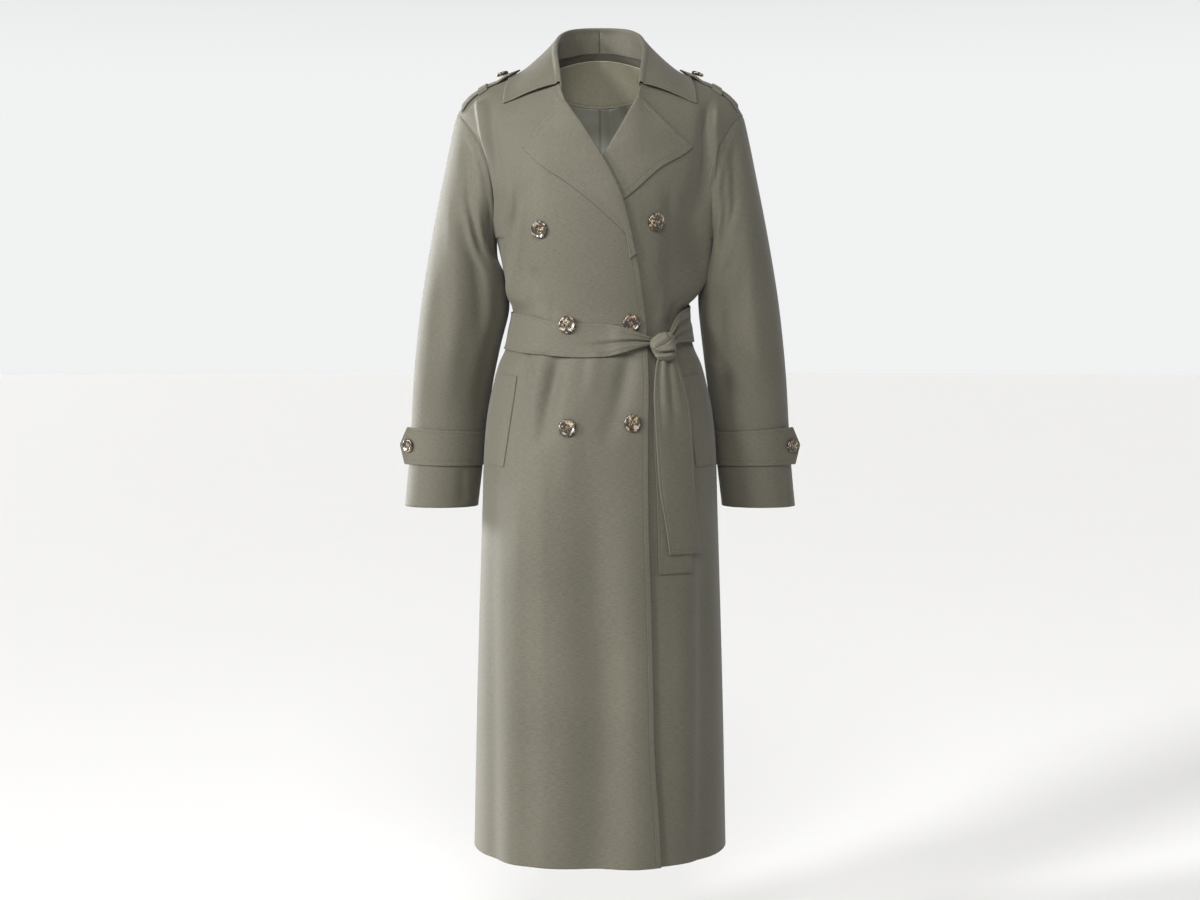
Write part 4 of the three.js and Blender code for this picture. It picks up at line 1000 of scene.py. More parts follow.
class Workroom:
    """What every sub-assembly shares: the form, the finishes and the way that a piece is handed in."""

    def __init__(self) -> None:
        """Makes the form and the finishes."""
        self.form = CoatForm()
        self.finishes = Finishes()
        self.cuts_pending: list[tuple[bpy.types.Object, Cut]] = []

    def hand_in(self, made: bpy.types.Object, slot: str, *nodes: str) -> bpy.types.Object:
        """Hands in a piece: puts it under the root body, hides the solids that it stands for, if any, and logs its
        faces; slot is not used.
        """
        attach(made, "root")
        if nodes:
            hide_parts(*nodes)
        log.info("%s: %d faces", made.name, len(made.data.polygons))
        return made

    def sew(self, cloth: Cloth, nodes: tuple[str, ...], lined: bool = False) -> bpy.types.Object:
        """Builds a cloth piece and hands it in.

        Args:
            cloth: the piece.
            nodes: the solids that it stands for.
            lined: True gives it the lining's finish.

        Returns:
            The object.
        """
        # The neck facing takes the lighter painted-light copy of the twill.
        plain = self.finishes.facing if cloth.name == "facing_cloth" else self.finishes.twill
        made = cloth.build(self.finishes.lining if lined else plain)
        cut = CUTS[cloth.name]
        self.cuts_pending.append((made, cut))
        steps = np.cross(np.diff(cloth.points, axis=0)[:, :-1], np.diff(cloth.points, axis=1)[:-1])
        log.info("%s: %.4f square metres, cut %.3f by %.3f", made.name,
                 np.linalg.norm(steps, axis=-1).sum() * MM * MM, cut.width, cut.length)
        return self.hand_in(made, "lining" if lined else "twill", *nodes)


@dataclass
class Stitching:
    """Runs of thread stitches that are gathered into one piece.

    length is how much of a stitch shows, gap the cloth between two, radius the thread's.
    """

    name: str
    length: float = 2.5
    gap: float = 0.9
    radius: float = 0.24
    parts: list[Array] = field(default_factory=list)

    def run(self, line: tuple[Array, Array]) -> None:
        """Adds stitches along a line.

        Args:
            line: points and outward directions.
        """
        points, square = line
        run = np.concatenate([[0], np.cumsum(np.linalg.norm(np.diff(points, axis=0), axis=1))])
        count = int(run[-1] // (self.length + self.gap))
        if count < 1:
            return
        start = (np.arange(count) + 0.15) * (self.length + self.gap)
        self._lay(run, points, square, start)

    def _lay(self, run: Array, points: Array, square: Array, start: Array) -> None:
        """Lays one stitch from each start: rings of four corners whose height rises and falls along it."""
        share = np.array([0.0, 0.22, 0.78, 1.0])
        lift = np.array([-0.1, 0.2, 0.2, -0.1])
        fat = np.array([0.35, 1.0, 1.0, 0.35]) * self.radius
        at = start[:, None] + share * self.length
        p = np.stack([np.interp(at, run, points[:, k]) for k in range(3)], -1)
        n = unit(np.stack([np.interp(at, run, square[:, k]) for k in range(3)], -1))
        ahead = unit(np.stack([np.interp(at + 0.3, run, points[:, k]) - np.interp(at - 0.3, run, points[:, k])
                               for k in range(3)], -1))
        aside = unit(np.cross(ahead, n))
        self._wrap(p + n * lift[None, :, None], n, aside, fat)

    def _wrap(self, p: Array, n: Array, aside: Array, fat: Array) -> None:
        """Wraps each stitch's four points in rings of four corners, each ring as fat as its number says."""
        turn = np.arange(4) * QUARTER_TURN + QUARTER_TURN / 2
        ring = p[:, :, None] + fat[None, :, None, None] * (
            aside[:, :, None] * np.cos(turn)[:, None] + n[:, :, None] * np.sin(turn)[:, None])
        self.parts.append(ring.reshape(-1, 16, 3))

    def bars(self, centres: Array, across: Array, square: Array, length: float) -> None:
        """Adds single bars of thread.

        Args:
            centres: the bars' middles.
            across: the directions along them.
            square: the outward directions.
            length: their length.
        """
        share = np.array([-0.5, -0.3, 0.3, 0.5]) * length
        fat = np.array([0.5, 1.0, 1.0, 0.5]) * self.radius
        lift = np.array([-0.15, 0.15, 0.15, -0.15])
        n, ahead = unit(square)[:, None], unit(across)[:, None]
        p = centres[:, None] + ahead * share[None, :, None] + n * lift[None, :, None]
        self._wrap(p, n, unit(np.cross(ahead, n)), fat)

    def build(self, room: Workroom) -> bpy.types.Object:
        """Makes the piece: each stitch is twelve side faces and two ends."""
        rings = np.concatenate(self.parts)
        k = np.arange(4)
        sides = np.concatenate([np.stack([r * 4 + k, r * 4 + (k + 1) % 4, r * 4 + 4 + (k + 1) % 4, r * 4 + 4 + k], 1)
                                for r in range(3)])
        one = np.concatenate([sides, [[3, 2, 1, 0], [12, 13, 14, 15]]])
        first = rings[0]
        middle = first.mean(axis=0)
        a, b, c = (first[one[:, j]] for j in (0, 1, 2))
        if float((np.cross(b - a, c - a) * ((a + c) / 2 - middle)).sum()) < 0:
            one = one[:, ::-1]
        quads = (np.arange(len(rings))[:, None, None] * 16 + one).reshape(-1, 4)
        made = mesh_object(self.name, rings.reshape(-1, 3) * MM, quads, room.finishes.thread)
        return room.hand_in(made, "twill")


# Fronts and back.
@dataclass
class Fronts:
    """Right and left front with their lapels, pocket welts, edge stitching and buttonholes."""

    rows_low: int = 190
    rows_up: int = 76
    columns_in: int = 84
    edge_band: tuple = (12.5, 11.0, 9.6, 8.6, 7.8, 7.0, 6.2, 5.4, 4.4, 3.2, 1.8, 0.9, 0.0)
    right_edge: tuple = (
        (-1141, -84.5), (-1069, -81), (-990, -75.5), (-890, -73), (-772, -70), (-654, -66.5), (-522, -66),
        (-464, -67), (-416, -65.5), (-373, -63), (-333, -58), (-297, -53), (-261, -45), (-224, -36.5),
        (-197, -28.5), (-170, -17), (-148, -4), (-137, 2), (-91, 29), (-59, 50), (-36, 58), (-14, 66), (0, 72),
        (6, 75),
    )
    left_edge: tuple = (
        (-1141, -64), (-522, -62), (-373, -60), (-333, -57), (-297, -51), (-261, -43), (-224, -33), (-197, -24),
        (-170, -11), (-148, 2), (-133, 12), (-98, 32), (-55, 53), (-36, 58), (-14, 66), (0, 72), (6, 75),
    )
    right_lapel: tuple = (
        (51, -61, 109, -125), (41, -77, 98, -138), (24, -101, 78, -156), (2, -137, 46, -178),
        (-14, -165, 14, -203), (-28.5, -197, -11, -225), (-40, -238, -34, -248), (-48.5, -276, -46, -278),
    )
    left_lapel: tuple = (
        (54, -57, 129, -126), (44, -75, 113, -139), (27, -106, 82, -158), (5, -143, 49, -188),
        (-11, -170, 18, -213), (-24, -197, -7, -232), (-37, -238, -31, -252), (-46, -276, -44, -278),
    )
    lapel_rise: float = 2.7

    def heights(self, form: CoatForm) -> tuple[Array, Array]:
        """Rows below the armpit, and shares of the way from the armpit to the shoulder, both from the bottom."""
        low = np.concatenate([[form.hem, form.hem + 1.2, form.hem + 3],
                              np.linspace(form.hem + 7, form.armpit, self.rows_low)])
        up = (1 - np.cos(np.pi * np.linspace(0, 1, self.rows_up))) / 2
        return low, up[1:]

    def panel(self, form: CoatForm, side: Side) -> Cloth:
        """One front on its grid.

        Args:
            form: the coat's form.
            side: which front.

        Returns:
            The cloth; columns run from the side seam or armhole to a band of even steps at the free edge.
        """
        lapped = side is Side.RIGHT
        edge = columns(self.right_edge if lapped else self.left_edge)[0]
        low, up = self.heights(form)
        t = np.linspace(0, 1, self.columns_in)
        band = np.asarray(self.edge_band)
        gap = band[0] + 2.0
        top = np.full(len(t), -20.0)
        first = form.angle(form.shoulder_end, form.shoulder(form.shoulder_end))
        last = form.angle(form.neck + gap, 6)
        lean = mix(QUARTER_TURN, last, t) - (QUARTER_TURN - first) * (1 - t) ** 2
        for _ in range(24):
            top = form.shoulder(np.maximum(form.half(top) * np.sin(lean), form.neck))
        top[0] = form.shoulder(form.shoulder_end)
        rows = np.concatenate([np.full(len(low), -1.0), up])[:, None]
        below = np.concatenate([low, np.zeros(len(up))])[:, None]
        share = np.maximum(rows, 0)
        z = np.where(rows < 0, below, form.up_to(top[None], share))
        arm_z = np.where(rows < 0, below, form.up_to(form.shoulder(form.shoulder_end), share))
        edge_z = np.where(rows < 0, below, form.up_to(form.shoulder(form.neck), share))
        start = np.where(rows < 0, QUARTER_TURN, form.angle(form.armhole(arm_z), arm_z))
        stop = form.angle(edge(edge_z) + gap, edge_z)
        angle = mix(QUARTER_TURN, stop, t[None]) - (QUARTER_TURN - start) * (1 - t[None]) ** 2
        z_band = np.where(rows < 0, below, form.up_to(form.shoulder(form.neck + band)[None], share))
        angle_band = form.angle(edge(z_band) + band[None], z_band)
        angle = np.concatenate([angle, angle_band], axis=1)
        z = np.concatenate([z, z_band], axis=1)
        points = form.skin(side.value * angle, z, -1, 0.0, lapped)
        return Cloth(f"front_{side.word}_cloth", points, from_body(points))

    def lapel(self, form: CoatForm, side: Side) -> Cloth:
        """One lapel, folded out over its front along the roll line.

        Args:
            form: the coat's form.
            side: which lapel.

        Returns:
            The cloth: a tuck inside the edge, a half round over the roll line, then the lapel to its free edge.
        """
        lapped = side is Side.RIGHT
        roll_x, roll_z, edge_x, edge_z = columns(self.right_lapel if lapped else self.left_lapel, keyed=False)
        span = 7.0
        at = (crowded(84, 0.35) * span)[:, None]
        t = crowded(46, 0.55)[None]

        def face(t: Array) -> tuple[Array, Array, Array]:
            """Points of the lapel's face at shares across it, with their angles and heights."""
            x = side.value * mix(roll_x(at), edge_x(at), t)
            z = mix(roll_z(at), edge_z(at), t) + (0 if lapped else -6 * t * (1 - t))
            full = (2.2 if lapped else 2.2 * ease(-150, -120, z)) * np.sin(np.pi * np.minimum(1, 0.25 + t))
            out = self.lapel_rise + np.maximum(0, full) * ease(1, 0.6, at / span)
            x, z, out = np.broadcast_arrays(x, z, out)
            return form.skin(form.angle(x, z), z, -1, out, lapped), form.angle(x, z), z

        points, angle, z = face(t)
        start = points[:, :1]
        beyond = unit(start - face(np.array([[0.03]]))[0])
        n = form.normal(angle[:, :1], z[:, :1], -1)
        radius = mix(3.0, 1.1, (at / span) ** 2)[..., None]
        theta = np.linspace(np.pi, 0, 10)[None, :-1, None]
        bend = start - n * radius + radius * (n * np.cos(theta) + beyond * np.sin(theta))
        tuck = bend[:, :1] - beyond * np.linspace(11, 0, 6)[None, :-1, None]
        whole = np.concatenate([tuck, bend, points], axis=1)
        return Cloth(f"lapel_{side.word}_cloth", whole, from_body(whole), 1.4)

    def welt(self, form: CoatForm, side: Side) -> Cloth:
        """One pocket welt lying on its front, slanted with the side seam."""
        r, c = crowded(60)[:, None], crowded(34)[None]
        z = mix(-449, -577, r)
        start = form.angle(mix(117, 136.5, r), z)
        angle = side.value * (start + 0.31 * c)
        angle, height = np.broadcast_arrays(angle, z + 2 * c)
        points = form.skin(angle, height, -1, 1.25, side is Side.RIGHT)
        return Cloth(f"welt_{side.word}_cloth", points, from_body(points), 0.9)

    def build(self, room: Workroom) -> None:
        """Makes both fronts, the lapels, the welts and their thread."""
        thread = Stitching("stitching_fronts")
        for side in Side:
            lapped = side is Side.RIGHT
            panel = self.panel(room.form, side)
            if lapped:
                line = Channel(Border.LAST_COLUMN, 6.6)
                panel.press((line,))
                thread.run(panel.line(line, (0.0, 0.315)))
            panel.dent(Channel(Border.FIRST_ROW, 38, 0.2, 2.4))
            room.sew(panel, (f"front_{side.word}",))

            lapel = self.lapel(room.form, side)
            outer = Channel(Border.LAST_COLUMN, 6.5)
            notch = Channel(Border.FIRST_ROW, 6.5)
            lapel.press((outer, notch))
            thread.run(lapel.line(outer, (0.05, 0.12)))
            points, square = lapel.line(notch)
            thread.run((points[20:-4], square[20:-4]))
            room.sew(lapel, (f"lapel_{side.word}",))

            welt = self.welt(room.form, side)
            front = Channel(Border.FIRST_COLUMN, 2.6, 0.15)
            welt.press((front,))
            thread.run(welt.line(front, (0.02, 0.02)))
            room.sew(welt, (f"pocket_welt_{side.word}",))
        self.buttonholes(room.form, thread)
        thread.build(room)

    def buttonholes(self, form: CoatForm, thread: Stitching) -> None:
        """Adds worked buttonholes beside two buttons near the free edge: rows of short bars square to the slit."""
        for x, z in ((42.5, -374.0), (44.5, -513.5)):
            xs = x - np.linspace(9.5, 24, 15)
            zs = np.full(len(xs), z)
            points = form.on_front(xs, zs, 0.15, True)
            square = form.normal(form.angle(xs, zs), zs, -1)
            thread.bars(points, np.cross(square, np.gradient(points, axis=0)), square, 2.6)


def from_body(points: Array) -> Array:
    """Directions away from the body's upright middle, leaning up over the shoulders."""
    return xyz(points[..., 0], points[..., 1], np.maximum(0, points[..., 2] + 200))


@dataclass
class Back:
    """The plain back with its soft folds, and inside it the neck facing and the upper lining."""

    columns_in: int = 124
    lining_inset: float = 5.2

    def neck_height(self, x: Array) -> Array:
        """Height of the back's top edge at the neck: 28 - 22 (x / 75) squared."""
        return 28 - 22 * (x / 75) ** 2

    def top(self, form: CoatForm, x: Array) -> Array:
        """Top edge of the back over the distance from the middle."""
        return np.where(np.abs(x) < form.neck, self.neck_height(x), form.shoulder(x))

    def panel(self, form: CoatForm, heights: tuple[Array, Array]) -> Cloth:
        """The back on its grid, from one side seam to the other."""
        low, up = heights
        across = np.linspace(-1, 1, self.columns_in)
        first = form.angle(form.shoulder_end, form.shoulder(form.shoulder_end))
        lean = QUARTER_TURN * across - np.sign(across) * (QUARTER_TURN - first) * np.abs(across) ** 2.2
        top = np.full(len(across), 0.0)
        for _ in range(30):
            top = mix(top, self.top(form, form.half(top) * np.sin(lean)), 0.7)
        top[[0, -1]] = form.shoulder(form.shoulder_end)
        rows = np.concatenate([np.full(len(low), -1.0), up])[:, None]
        below = np.concatenate([low, np.zeros(len(up))])[:, None]
        share = np.maximum(rows, 0)
        z = np.where(rows < 0, below, form.up_to(top[None], share))
        arm_z = np.where(rows < 0, below, form.up_to(form.shoulder(form.shoulder_end), share))
        start = np.where(rows < 0, QUARTER_TURN, form.angle(form.armhole(arm_z), arm_z))
        angle = QUARTER_TURN * across[None] - np.sign(across) * (QUARTER_TURN - start) * np.abs(across[None]) ** 2.2
        points = form.skin(angle, z, 1, 0.0)
        return Cloth("back_cloth", points, from_body(points))

    def inner(self, form: CoatForm, name: str, half: float, low: Array, high: Array, rows: int) -> Cloth:
        """A piece inside the back between two edges, set in from the back's face."""
        x = np.linspace(-half, half, len(low))[None]
        z = mix(low[None], high[None], crowded(rows, 0.5)[:, None])
        x, z = np.broadcast_arrays(x, z)
        points = form.skin(form.angle(x, z), z, 1, -self.lining_inset)
        return Cloth(name, points, -from_body(points), 1.0)

    def build(self, room: Workroom, heights: tuple[Array, Array]) -> None:
        """Makes the back, the neck facing and the upper lining."""
        form = room.form
        room.sew(self.panel(form, heights), ("back",))
        x = np.linspace(-98, 98, 90)
        low = -49 + 24 * (x / 100) ** 2
        facing = self.inner(form, "facing_cloth", 98, low, self.top(form, x) - 9, 44)
        seam = Channel(Border.FIRST_ROW, 4.0, 0.3)
        facing.press((seam,))
        thread = Stitching("stitching_facing")
        thread.run(facing.line(seam))
        room.sew(facing, ("back_facing",))
        thread.build(room)
        x = np.linspace(-118, 118, 130)
        edge = -49 + 24 * (np.clip(x, -98, 98) / 100) ** 2 - 1
        lining = self.inner(form, "lining_cloth", 118, np.full(len(x), -215.0), edge, 70)
        px, pz = lining.points[..., 0], lining.points[..., 2]
        pleats = (Crease(((-40, 14), (-120, 22), (-215, 26)), 7, 4, 2.6, 0.1, 0.1)(px, pz)
                  + Crease(((-40, 30), (-120, 40), (-215, 46)), 5, 8, -1.6, 0.1, 0.1)(px, pz)
                  + Crease(((-44, 44), (-130, 60), (-215, 70)), 6, 6, 2.2, 0.2, 0.1)(px, pz)
                  + Crease(((-50, -36), (-140, -46), (-215, -50)), 9, 6, 1.6, 0.3, 0.1)(px, pz))
        seam_line = hump(px, 1.3)
        # The centre seam is marked too, so the satin paints shade along its dip.
        lining.shade_marks = seam_line
        lining.points = lining.points + lining.turn * lining.square * (pleats - 0.7 * seam_line)[..., None]
        lining.refresh()
        room.sew(lining, ("lining_back",), lined=True)


# Collar.
@dataclass
class Collar:
    """Turned-down collar in one run: up the stand inside, over the roll, down the leaf to its free edge."""

    stations: int = 150
    around: int = 72
    table: tuple = (
        (56.5, -82.5, -34, 57, -40, 138, -60, -62), (58.5, -68, -16, 62, -24, 136, -40, -40),
        (61, -46, 2, 69.5, -6, 131, -16, -23), (63, -22, 19, 73.5, 2.5, 125, 8, -17),
        (62, 2, 34, 75, 6, 114, 36, -14), (56, 27, 48, 68, 9.9, 92, 66, -13),
        (43, 46, 57, 50, 18.2, 62, 84, -13), (22, 57, 61, 25, 25.5, 31, 92, -13), (0, 61, 62, 0, 28, 0, 95, -13),
    )

    def surface(self, form: CoatForm) -> Cloth:
        """The collar on its grid, from the right front end round the neck to the left one.

        Args:
            form: the coat's form.

        Returns:
            The cloth; each section runs through points of the stand, the roll and the leaf's quadratic curve.
        """
        roll_x, roll_y, roll_z, neck_x, neck_z, edge_x, edge_y, edge_z = columns(self.table, keyed=False)
        at = crowded(self.stations, 0.55) * 16
        own = np.where(at < 8, -1.0, 1.0)
        s = np.where(at < 8, at, 16 - at)
        side = np.where(s < 4, -1.0, 1.0)
        neck = form.base(form.angle(neck_x(s), neck_z(s)), neck_z(s), side)
        roll = xyz(roll_x(s), roll_y(s), roll_z(s))
        edge = xyz(edge_x(s), edge_y(s), edge_z(s))
        flat = unit((edge - roll) * np.array([1, 1, 0]))
        up = np.array([0.0, 0.0, 1.0])
        stand = [neck + (roll - neck) * t + np.array([-2.6, 0, -3.4]) for t in (0.06, 0.35, 0.65, 0.88)]
        turned = [roll + flat * out + up * rise for out, rise in ((-2.2, -0.6), (0.4, 1.4), (4.4, 1.0), (7.2, -1.6))]
        start = turned[-1]
        bend = mix(start, edge, 0.42) + up * 6.0
        leaf = [form.clear(start * (1 - t) ** 2 + bend * 2 * t * (1 - t) + edge * t * t, 3.4)
                for t in (0.08, 0.18, 0.32, 0.46, 0.6, 0.74, 0.88, 1.0)]
        controls = np.stack([*stand, *turned, *leaf])
        controls[..., 0] *= own
        points = section_through(controls, self.around)
        inside = xyz(-points[:, :20, 0], 10 - points[:, :20, 1], 0)
        away = np.concatenate([inside, xyz(0, 0, np.ones(points[:, 20:, 0].shape))], 1)
        return Cloth("collar_cloth", points, away, 1.5)

    def build(self, room: Workroom) -> None:
        """Makes the collar and its stitching along the leaf."""
        collar = self.surface(room.form)
        lines = (Channel(Border.LAST_COLUMN, 6.5), Channel(Border.FIRST_ROW, 6.5), Channel(Border.LAST_ROW, 6.5))
        keep = collar.points.copy()
        collar.press(lines)
        collar.points[:, :26] = keep[:, :26]
        # The stand's inside gets no painted shade of stitched channels.
        collar.shade_marks[:, :26] = 0
        collar.refresh()
        thread = Stitching("stitching_collar")
        thread.run(collar.line(lines[0], (0.03, 0.03)))
        for line in lines[1:]:
            points, square = collar.line(line)
            thread.run((points[34:-4], square[34:-4]))
        room.sew(collar, ("collar_stand", "collar_leaf"))
        thread.build(room)


# Sleeves.
@dataclass
class Sleeve:
    """One sleeve with its cuff strap. A turn of 0 is the outer line, half a turn the inner one, front first."""

    side: Side
    around: int = 104
    along: int = 168
    table: tuple = (
        (208.5, -72.2, 150, -251.2, 2, 62, 1), (213, -90, 151, -257, 2, 63, 0.86),
        (220, -122, 150.5, -267, 3, 64, 0.62), (229, -166, 148.5, -282, 4, 65, 0.36),
        (240, -220, 145, -301, 5, 65, 0.15), (251, -278, 141, -324, 7, 63, 0.03),
        (261.5, -340, 139.5, -356, 10, 60, 0), (269.5, -402, 148, -407, 15, 57, 0),
        (275.5, -462, 158.5, -464, 21, 54, 0), (280, -526, 169, -533, 28, 50, 0),
        (284.5, -584, 174.5, -585, 32, 48, 0), (290.5, -643, 181.5, -643, 34, 46, 0),
    )
    folds: tuple = (
        Crease(((1.1, 1.25), (4.6, 2.05)), 0.2, 0.2, -3.5, 0.25, 0.25),
        Crease(((4.0, 1.7), (7.0, 2.2)), 0.2, 0.2, -3.0, 0.25, 0.25),
        Crease(((1.5, -1.3), (5.2, -2.0)), 0.24, 0.24, -3.5, 0.25, 0.25),
        Crease(((4.6, -1.9), (8.4, -1.5)), 0.22, 0.22, -3.0, 0.25, 0.25),
    )
    right_creases: tuple = (
        Crease(((0.8, 0.85), (1.8, 1.0), (2.8, 1.35), (3.6, 1.8), (4.2, 2.2)), 0.2, 0.14, -4.0, 0.25, 0.2),
        Crease(((0.8, 1.2), (2.4, 1.6), (3.6, 2.1)), 0.2, 0.2, 3.0, 0.3, 0.3),
        Crease(((3.0, 1.1), (4.0, 1.5), (4.8, 1.85), (7.4, 2.15)), 0.24, 0.16, -4.2, 0.2, 0.4),
        Crease(((3.0, 0.8), (4.6, 1.25), (6.6, 1.5), (9.0, 1.55)), 0.26, 0.22, 3.6, 0.25, 0.3),
        Crease(((4.6, 2.45), (6.5, 2.5), (9.0, 2.4)), 0.22, 0.26, -4.0, 0.3, 0.3),
        Crease(((0.7, 2.3), (2.2, 2.45), (3.8, 2.6)), 0.4, 0.3, -6.0, 0.25, 0.3),
        Crease(((3.1, 2.35), (3.9, 2.6)), 0.1, 0.12, -2.2, 0.3, 0.3),
        Crease(((5.2, 0.9), (7.4, 1.2)), 0.22, 0.18, -1.8, 0.4, 0.4),
        Crease(((1.6, -0.9), (3.2, -1.5), (4.4, -2.2)), 0.14, 0.1, -2.6, 0.3, 0.3),
        Crease(((3.8, -1.2), (5.0, -1.8), (6.2, -2.3)), 0.16, 0.12, -2.4, 0.3, 0.4),
        Crease(((6.2, -0.7), (8.2, -1.0)), 0.2, 0.2, -1.8, 0.4, 0.4),
        Crease(((9.9, 2.1), (10.9, 2.25)), 0.16, 0.14, -1.6, 0.3, 0.1),
    )
    left_creases: tuple = (
        Crease(((0.8, 0.8), (2.0, 1.0), (3.0, 1.3), (3.8, 1.8)), 0.2, 0.14, -3.8, 0.3, 0.3),
        Crease(((1.0, 1.35), (2.4, 1.65), (3.6, 2.2)), 0.2, 0.2, 3.0, 0.3, 0.3),
        Crease(((3.0, 1.0), (5.0, 1.3), (8.8, 1.35)), 0.26, 0.24, 3.2, 0.3, 0.3),
        Crease(((4.6, 2.2), (6.5, 2.25), (9.0, 2.2)), 0.24, 0.26, -4.4, 0.3, 0.3),
        Crease(((0.7, 2.35), (2.2, 2.45), (3.8, 2.5)), 0.3, 0.3, -4.0, 0.25, 0.3),
        Crease(((2.2, 2.1), (3.2, 2.45), (4.4, 2.7)), 0.14, 0.12, -3.2, 0.2, 0.4),
        Crease(((4.2, 1.2), (5.6, 1.6), (7.0, 1.8)), 0.2, 0.16, -2.0, 0.4, 0.4),
        Crease(((3.2, -1.0), (4.6, -1.5), (5.8, -2.1)), 0.14, 0.12, -2.6, 0.3, 0.4),
        Crease(((6.0, -1.6), (7.8, -1.2)), 0.2, 0.2, -2.0, 0.4, 0.4),
        Crease(((10.0, 0.9), (10.9, 0.8)), 0.16, 0.18, -1.4, 0.3, 0.1),
    )
    strap_end: float = 0.87
    tab: float = 39.0
    tip: float = 11.0

    def __post_init__(self) -> None:
        """Reads the table into its curves, with the inner line where it lies against the body."""
        rows = np.array(self.table)
        rows[4:8, 2] += (-5.6, -6.6, -5.9, -1.5) if self.side is Side.RIGHT else (2.0, 3.0, 5.5, 3.0)
        self.curves = columns(rows, keyed=False)

    def base(self, form: CoatForm, turn: Array, s: Array) -> Array:
        """Points of the plain sleeve.

        Args:
            form: the coat's form.
            turn: turns round the arm.
            s: stations down it, from 0 at the armhole to 11 at the cuff's edge.

        Returns:
            Points of an oval between the outer and the inner line that turns into the armhole's own loop.
        """
        turn, s = np.broadcast_arrays(np.asarray(turn, float), np.asarray(s, float))
        out_x, out_z, in_x, in_z, mid, depth, loop = (c(s) for c in self.curves)
        loop = np.clip(loop, 0, 1)
        inside = xyz(in_x, 0, in_z)
        span = xyz(out_x, 0, out_z) - inside
        normal = unit(xyz(-span[..., 2], 0, span[..., 0]))
        share = (1 + np.cos(turn)) / 2
        z = form.up_to(form.shoulder(form.shoulder_end), share)
        side = np.where(np.sin(turn) >= 0, -1.0, 1.0)
        hole = form.base(form.angle(form.armhole(z), z), z, side)
        top = np.array([form.shoulder_end, 0, float(form.shoulder(form.shoulder_end))])
        low = np.array([form.armpit_half, 0, form.armpit])
        chord = top - low
        chord_normal = unit(np.array([-chord[2], 0, chord[0]]))
        rel = hole * np.array([1, 0, 1]) - low
        along = mix(share, (rel * chord).sum(-1) / (chord * chord).sum(), loop)
        bulge = (rel * chord_normal).sum(-1) * loop
        y = mix(mid - depth * np.sin(turn), hole[..., 1], loop)
        p = inside + span * along[..., None] + normal * bulge[..., None]
        return xyz(p[..., 0], y, p[..., 2])

    def normal(self, form: CoatForm, turn: Array, s: Array) -> Array:
        """Outward directions of the plain sleeve, from small steps in turn and station."""
        turn, s = np.broadcast_arrays(np.asarray(turn, float), np.asarray(s, float))
        a = self.base(form, turn + 0.03, s) - self.base(form, turn - 0.03, s)
        b = self.base(form, turn, np.minimum(s + 0.1, 11)) - self.base(form, turn, np.maximum(s - 0.1, 0))
        n = unit(np.cross(b, a))
        out = xyz(np.cos(turn), -np.sin(turn), 0)
        return np.where(((n * out).sum(-1) < 0)[..., None], -n, n)

    def skin(self, form: CoatForm, turn: Array, s: Array, out: Array | float) -> Array:
        """Points of the sleeve's face with its creases, moved out by a distance."""
        turn, s = np.broadcast_arrays(np.asarray(turn, float), np.asarray(s, float))
        rise = np.zeros(turn.shape) + out + sum(f(turn, s) for f in self.folds)
        creases = self.right_creases if self.side is Side.RIGHT else self.left_creases
        rise = rise + sum(c(turn, s) for c in creases) * ease(-0.02, 0.5, s)
        return self.base(form, turn, s) + self.normal(form, turn, s) * rise[..., None]

    def strap_point(self, form: CoatForm, t: Array, across: Array, out: float) -> Array:
        """Points of the cuff strap: once round the sleeve to t = 1, then straight on as a free tab."""
        low = mix(9.0, 9.93, across)
        turns = mix(-0.7, self.strap_end - 2 * np.pi, np.minimum(t, 1))
        signed = np.where(turns < -np.pi, turns + 2 * np.pi, turns)
        p = self.skin(form, signed, low, out)
        ahead = unit(self.base(form, self.strap_end - 0.05, low) - self.base(form, self.strap_end + 0.05, low))
        return p + ahead * (np.maximum(t - 1, 0) * self.tab)[..., None]

    def mirrored(self, points: Array) -> Array:
        """The points on this sleeve's own side."""
        return points * np.array([self.side.value, 1, 1])

    def outward(self, points: Array) -> Array:
        """Directions away from the sleeve's middle line."""
        return xyz(points[..., 0] - self.side.value * 228, points[..., 1] - 20, 0)

    def sleeve(self, form: CoatForm) -> Cloth:
        """The sleeve on its grid."""
        turn = 2 * np.pi * np.arange(self.around) / self.around
        turn = np.where(turn > np.pi, turn - 2 * np.pi, turn)
        s = np.concatenate([[0, 0.04, 0.1, 0.18], np.linspace(0.28, 10.9, self.along), [10.96, 11.0]])
        seam = 1.1 * hump(s, 0.16)[:, None] * np.ones(self.around)
        points = self.mirrored(self.skin(form, turn[None], s[:, None], -seam))
        return Cloth(f"sleeve_{self.side.word}_cloth", points, self.outward(points), 1.5, around=True)

    def strap(self, form: CoatForm) -> Cloth:
        """The cuff strap on its grid, narrowed to its pointed end."""
        t = np.concatenate([np.linspace(0, 1, 150)[:-1], 1 + crowded(44, 0.6)])[None]
        across = crowded(34, 0.7)[:, None]
        end = np.clip(((t - 1) * self.tab - (self.tab - self.tip)) / self.tip, 0, 1)
        narrowed = mix(across, 0.48, end * 0.93)
        t, narrowed = np.broadcast_arrays(t, narrowed)
        points = self.mirrored(self.strap_point(form, t, narrowed, 2.8))
        return Cloth(f"cuff_strap_{self.side.word}_cloth", points, self.outward(points), 1.6)

    def button_seat(self, form: CoatForm) -> tuple[Array, Array]:
        """Place and facing of the cuff button on the strap's tab."""
        on = self.strap_point(form, np.array(1 + 22 / self.tab), np.array(0.48), 3.3)
        face = self.normal(form, np.array(self.strap_end), np.array(9.45))
        return self.mirrored(on), self.mirrored(face)

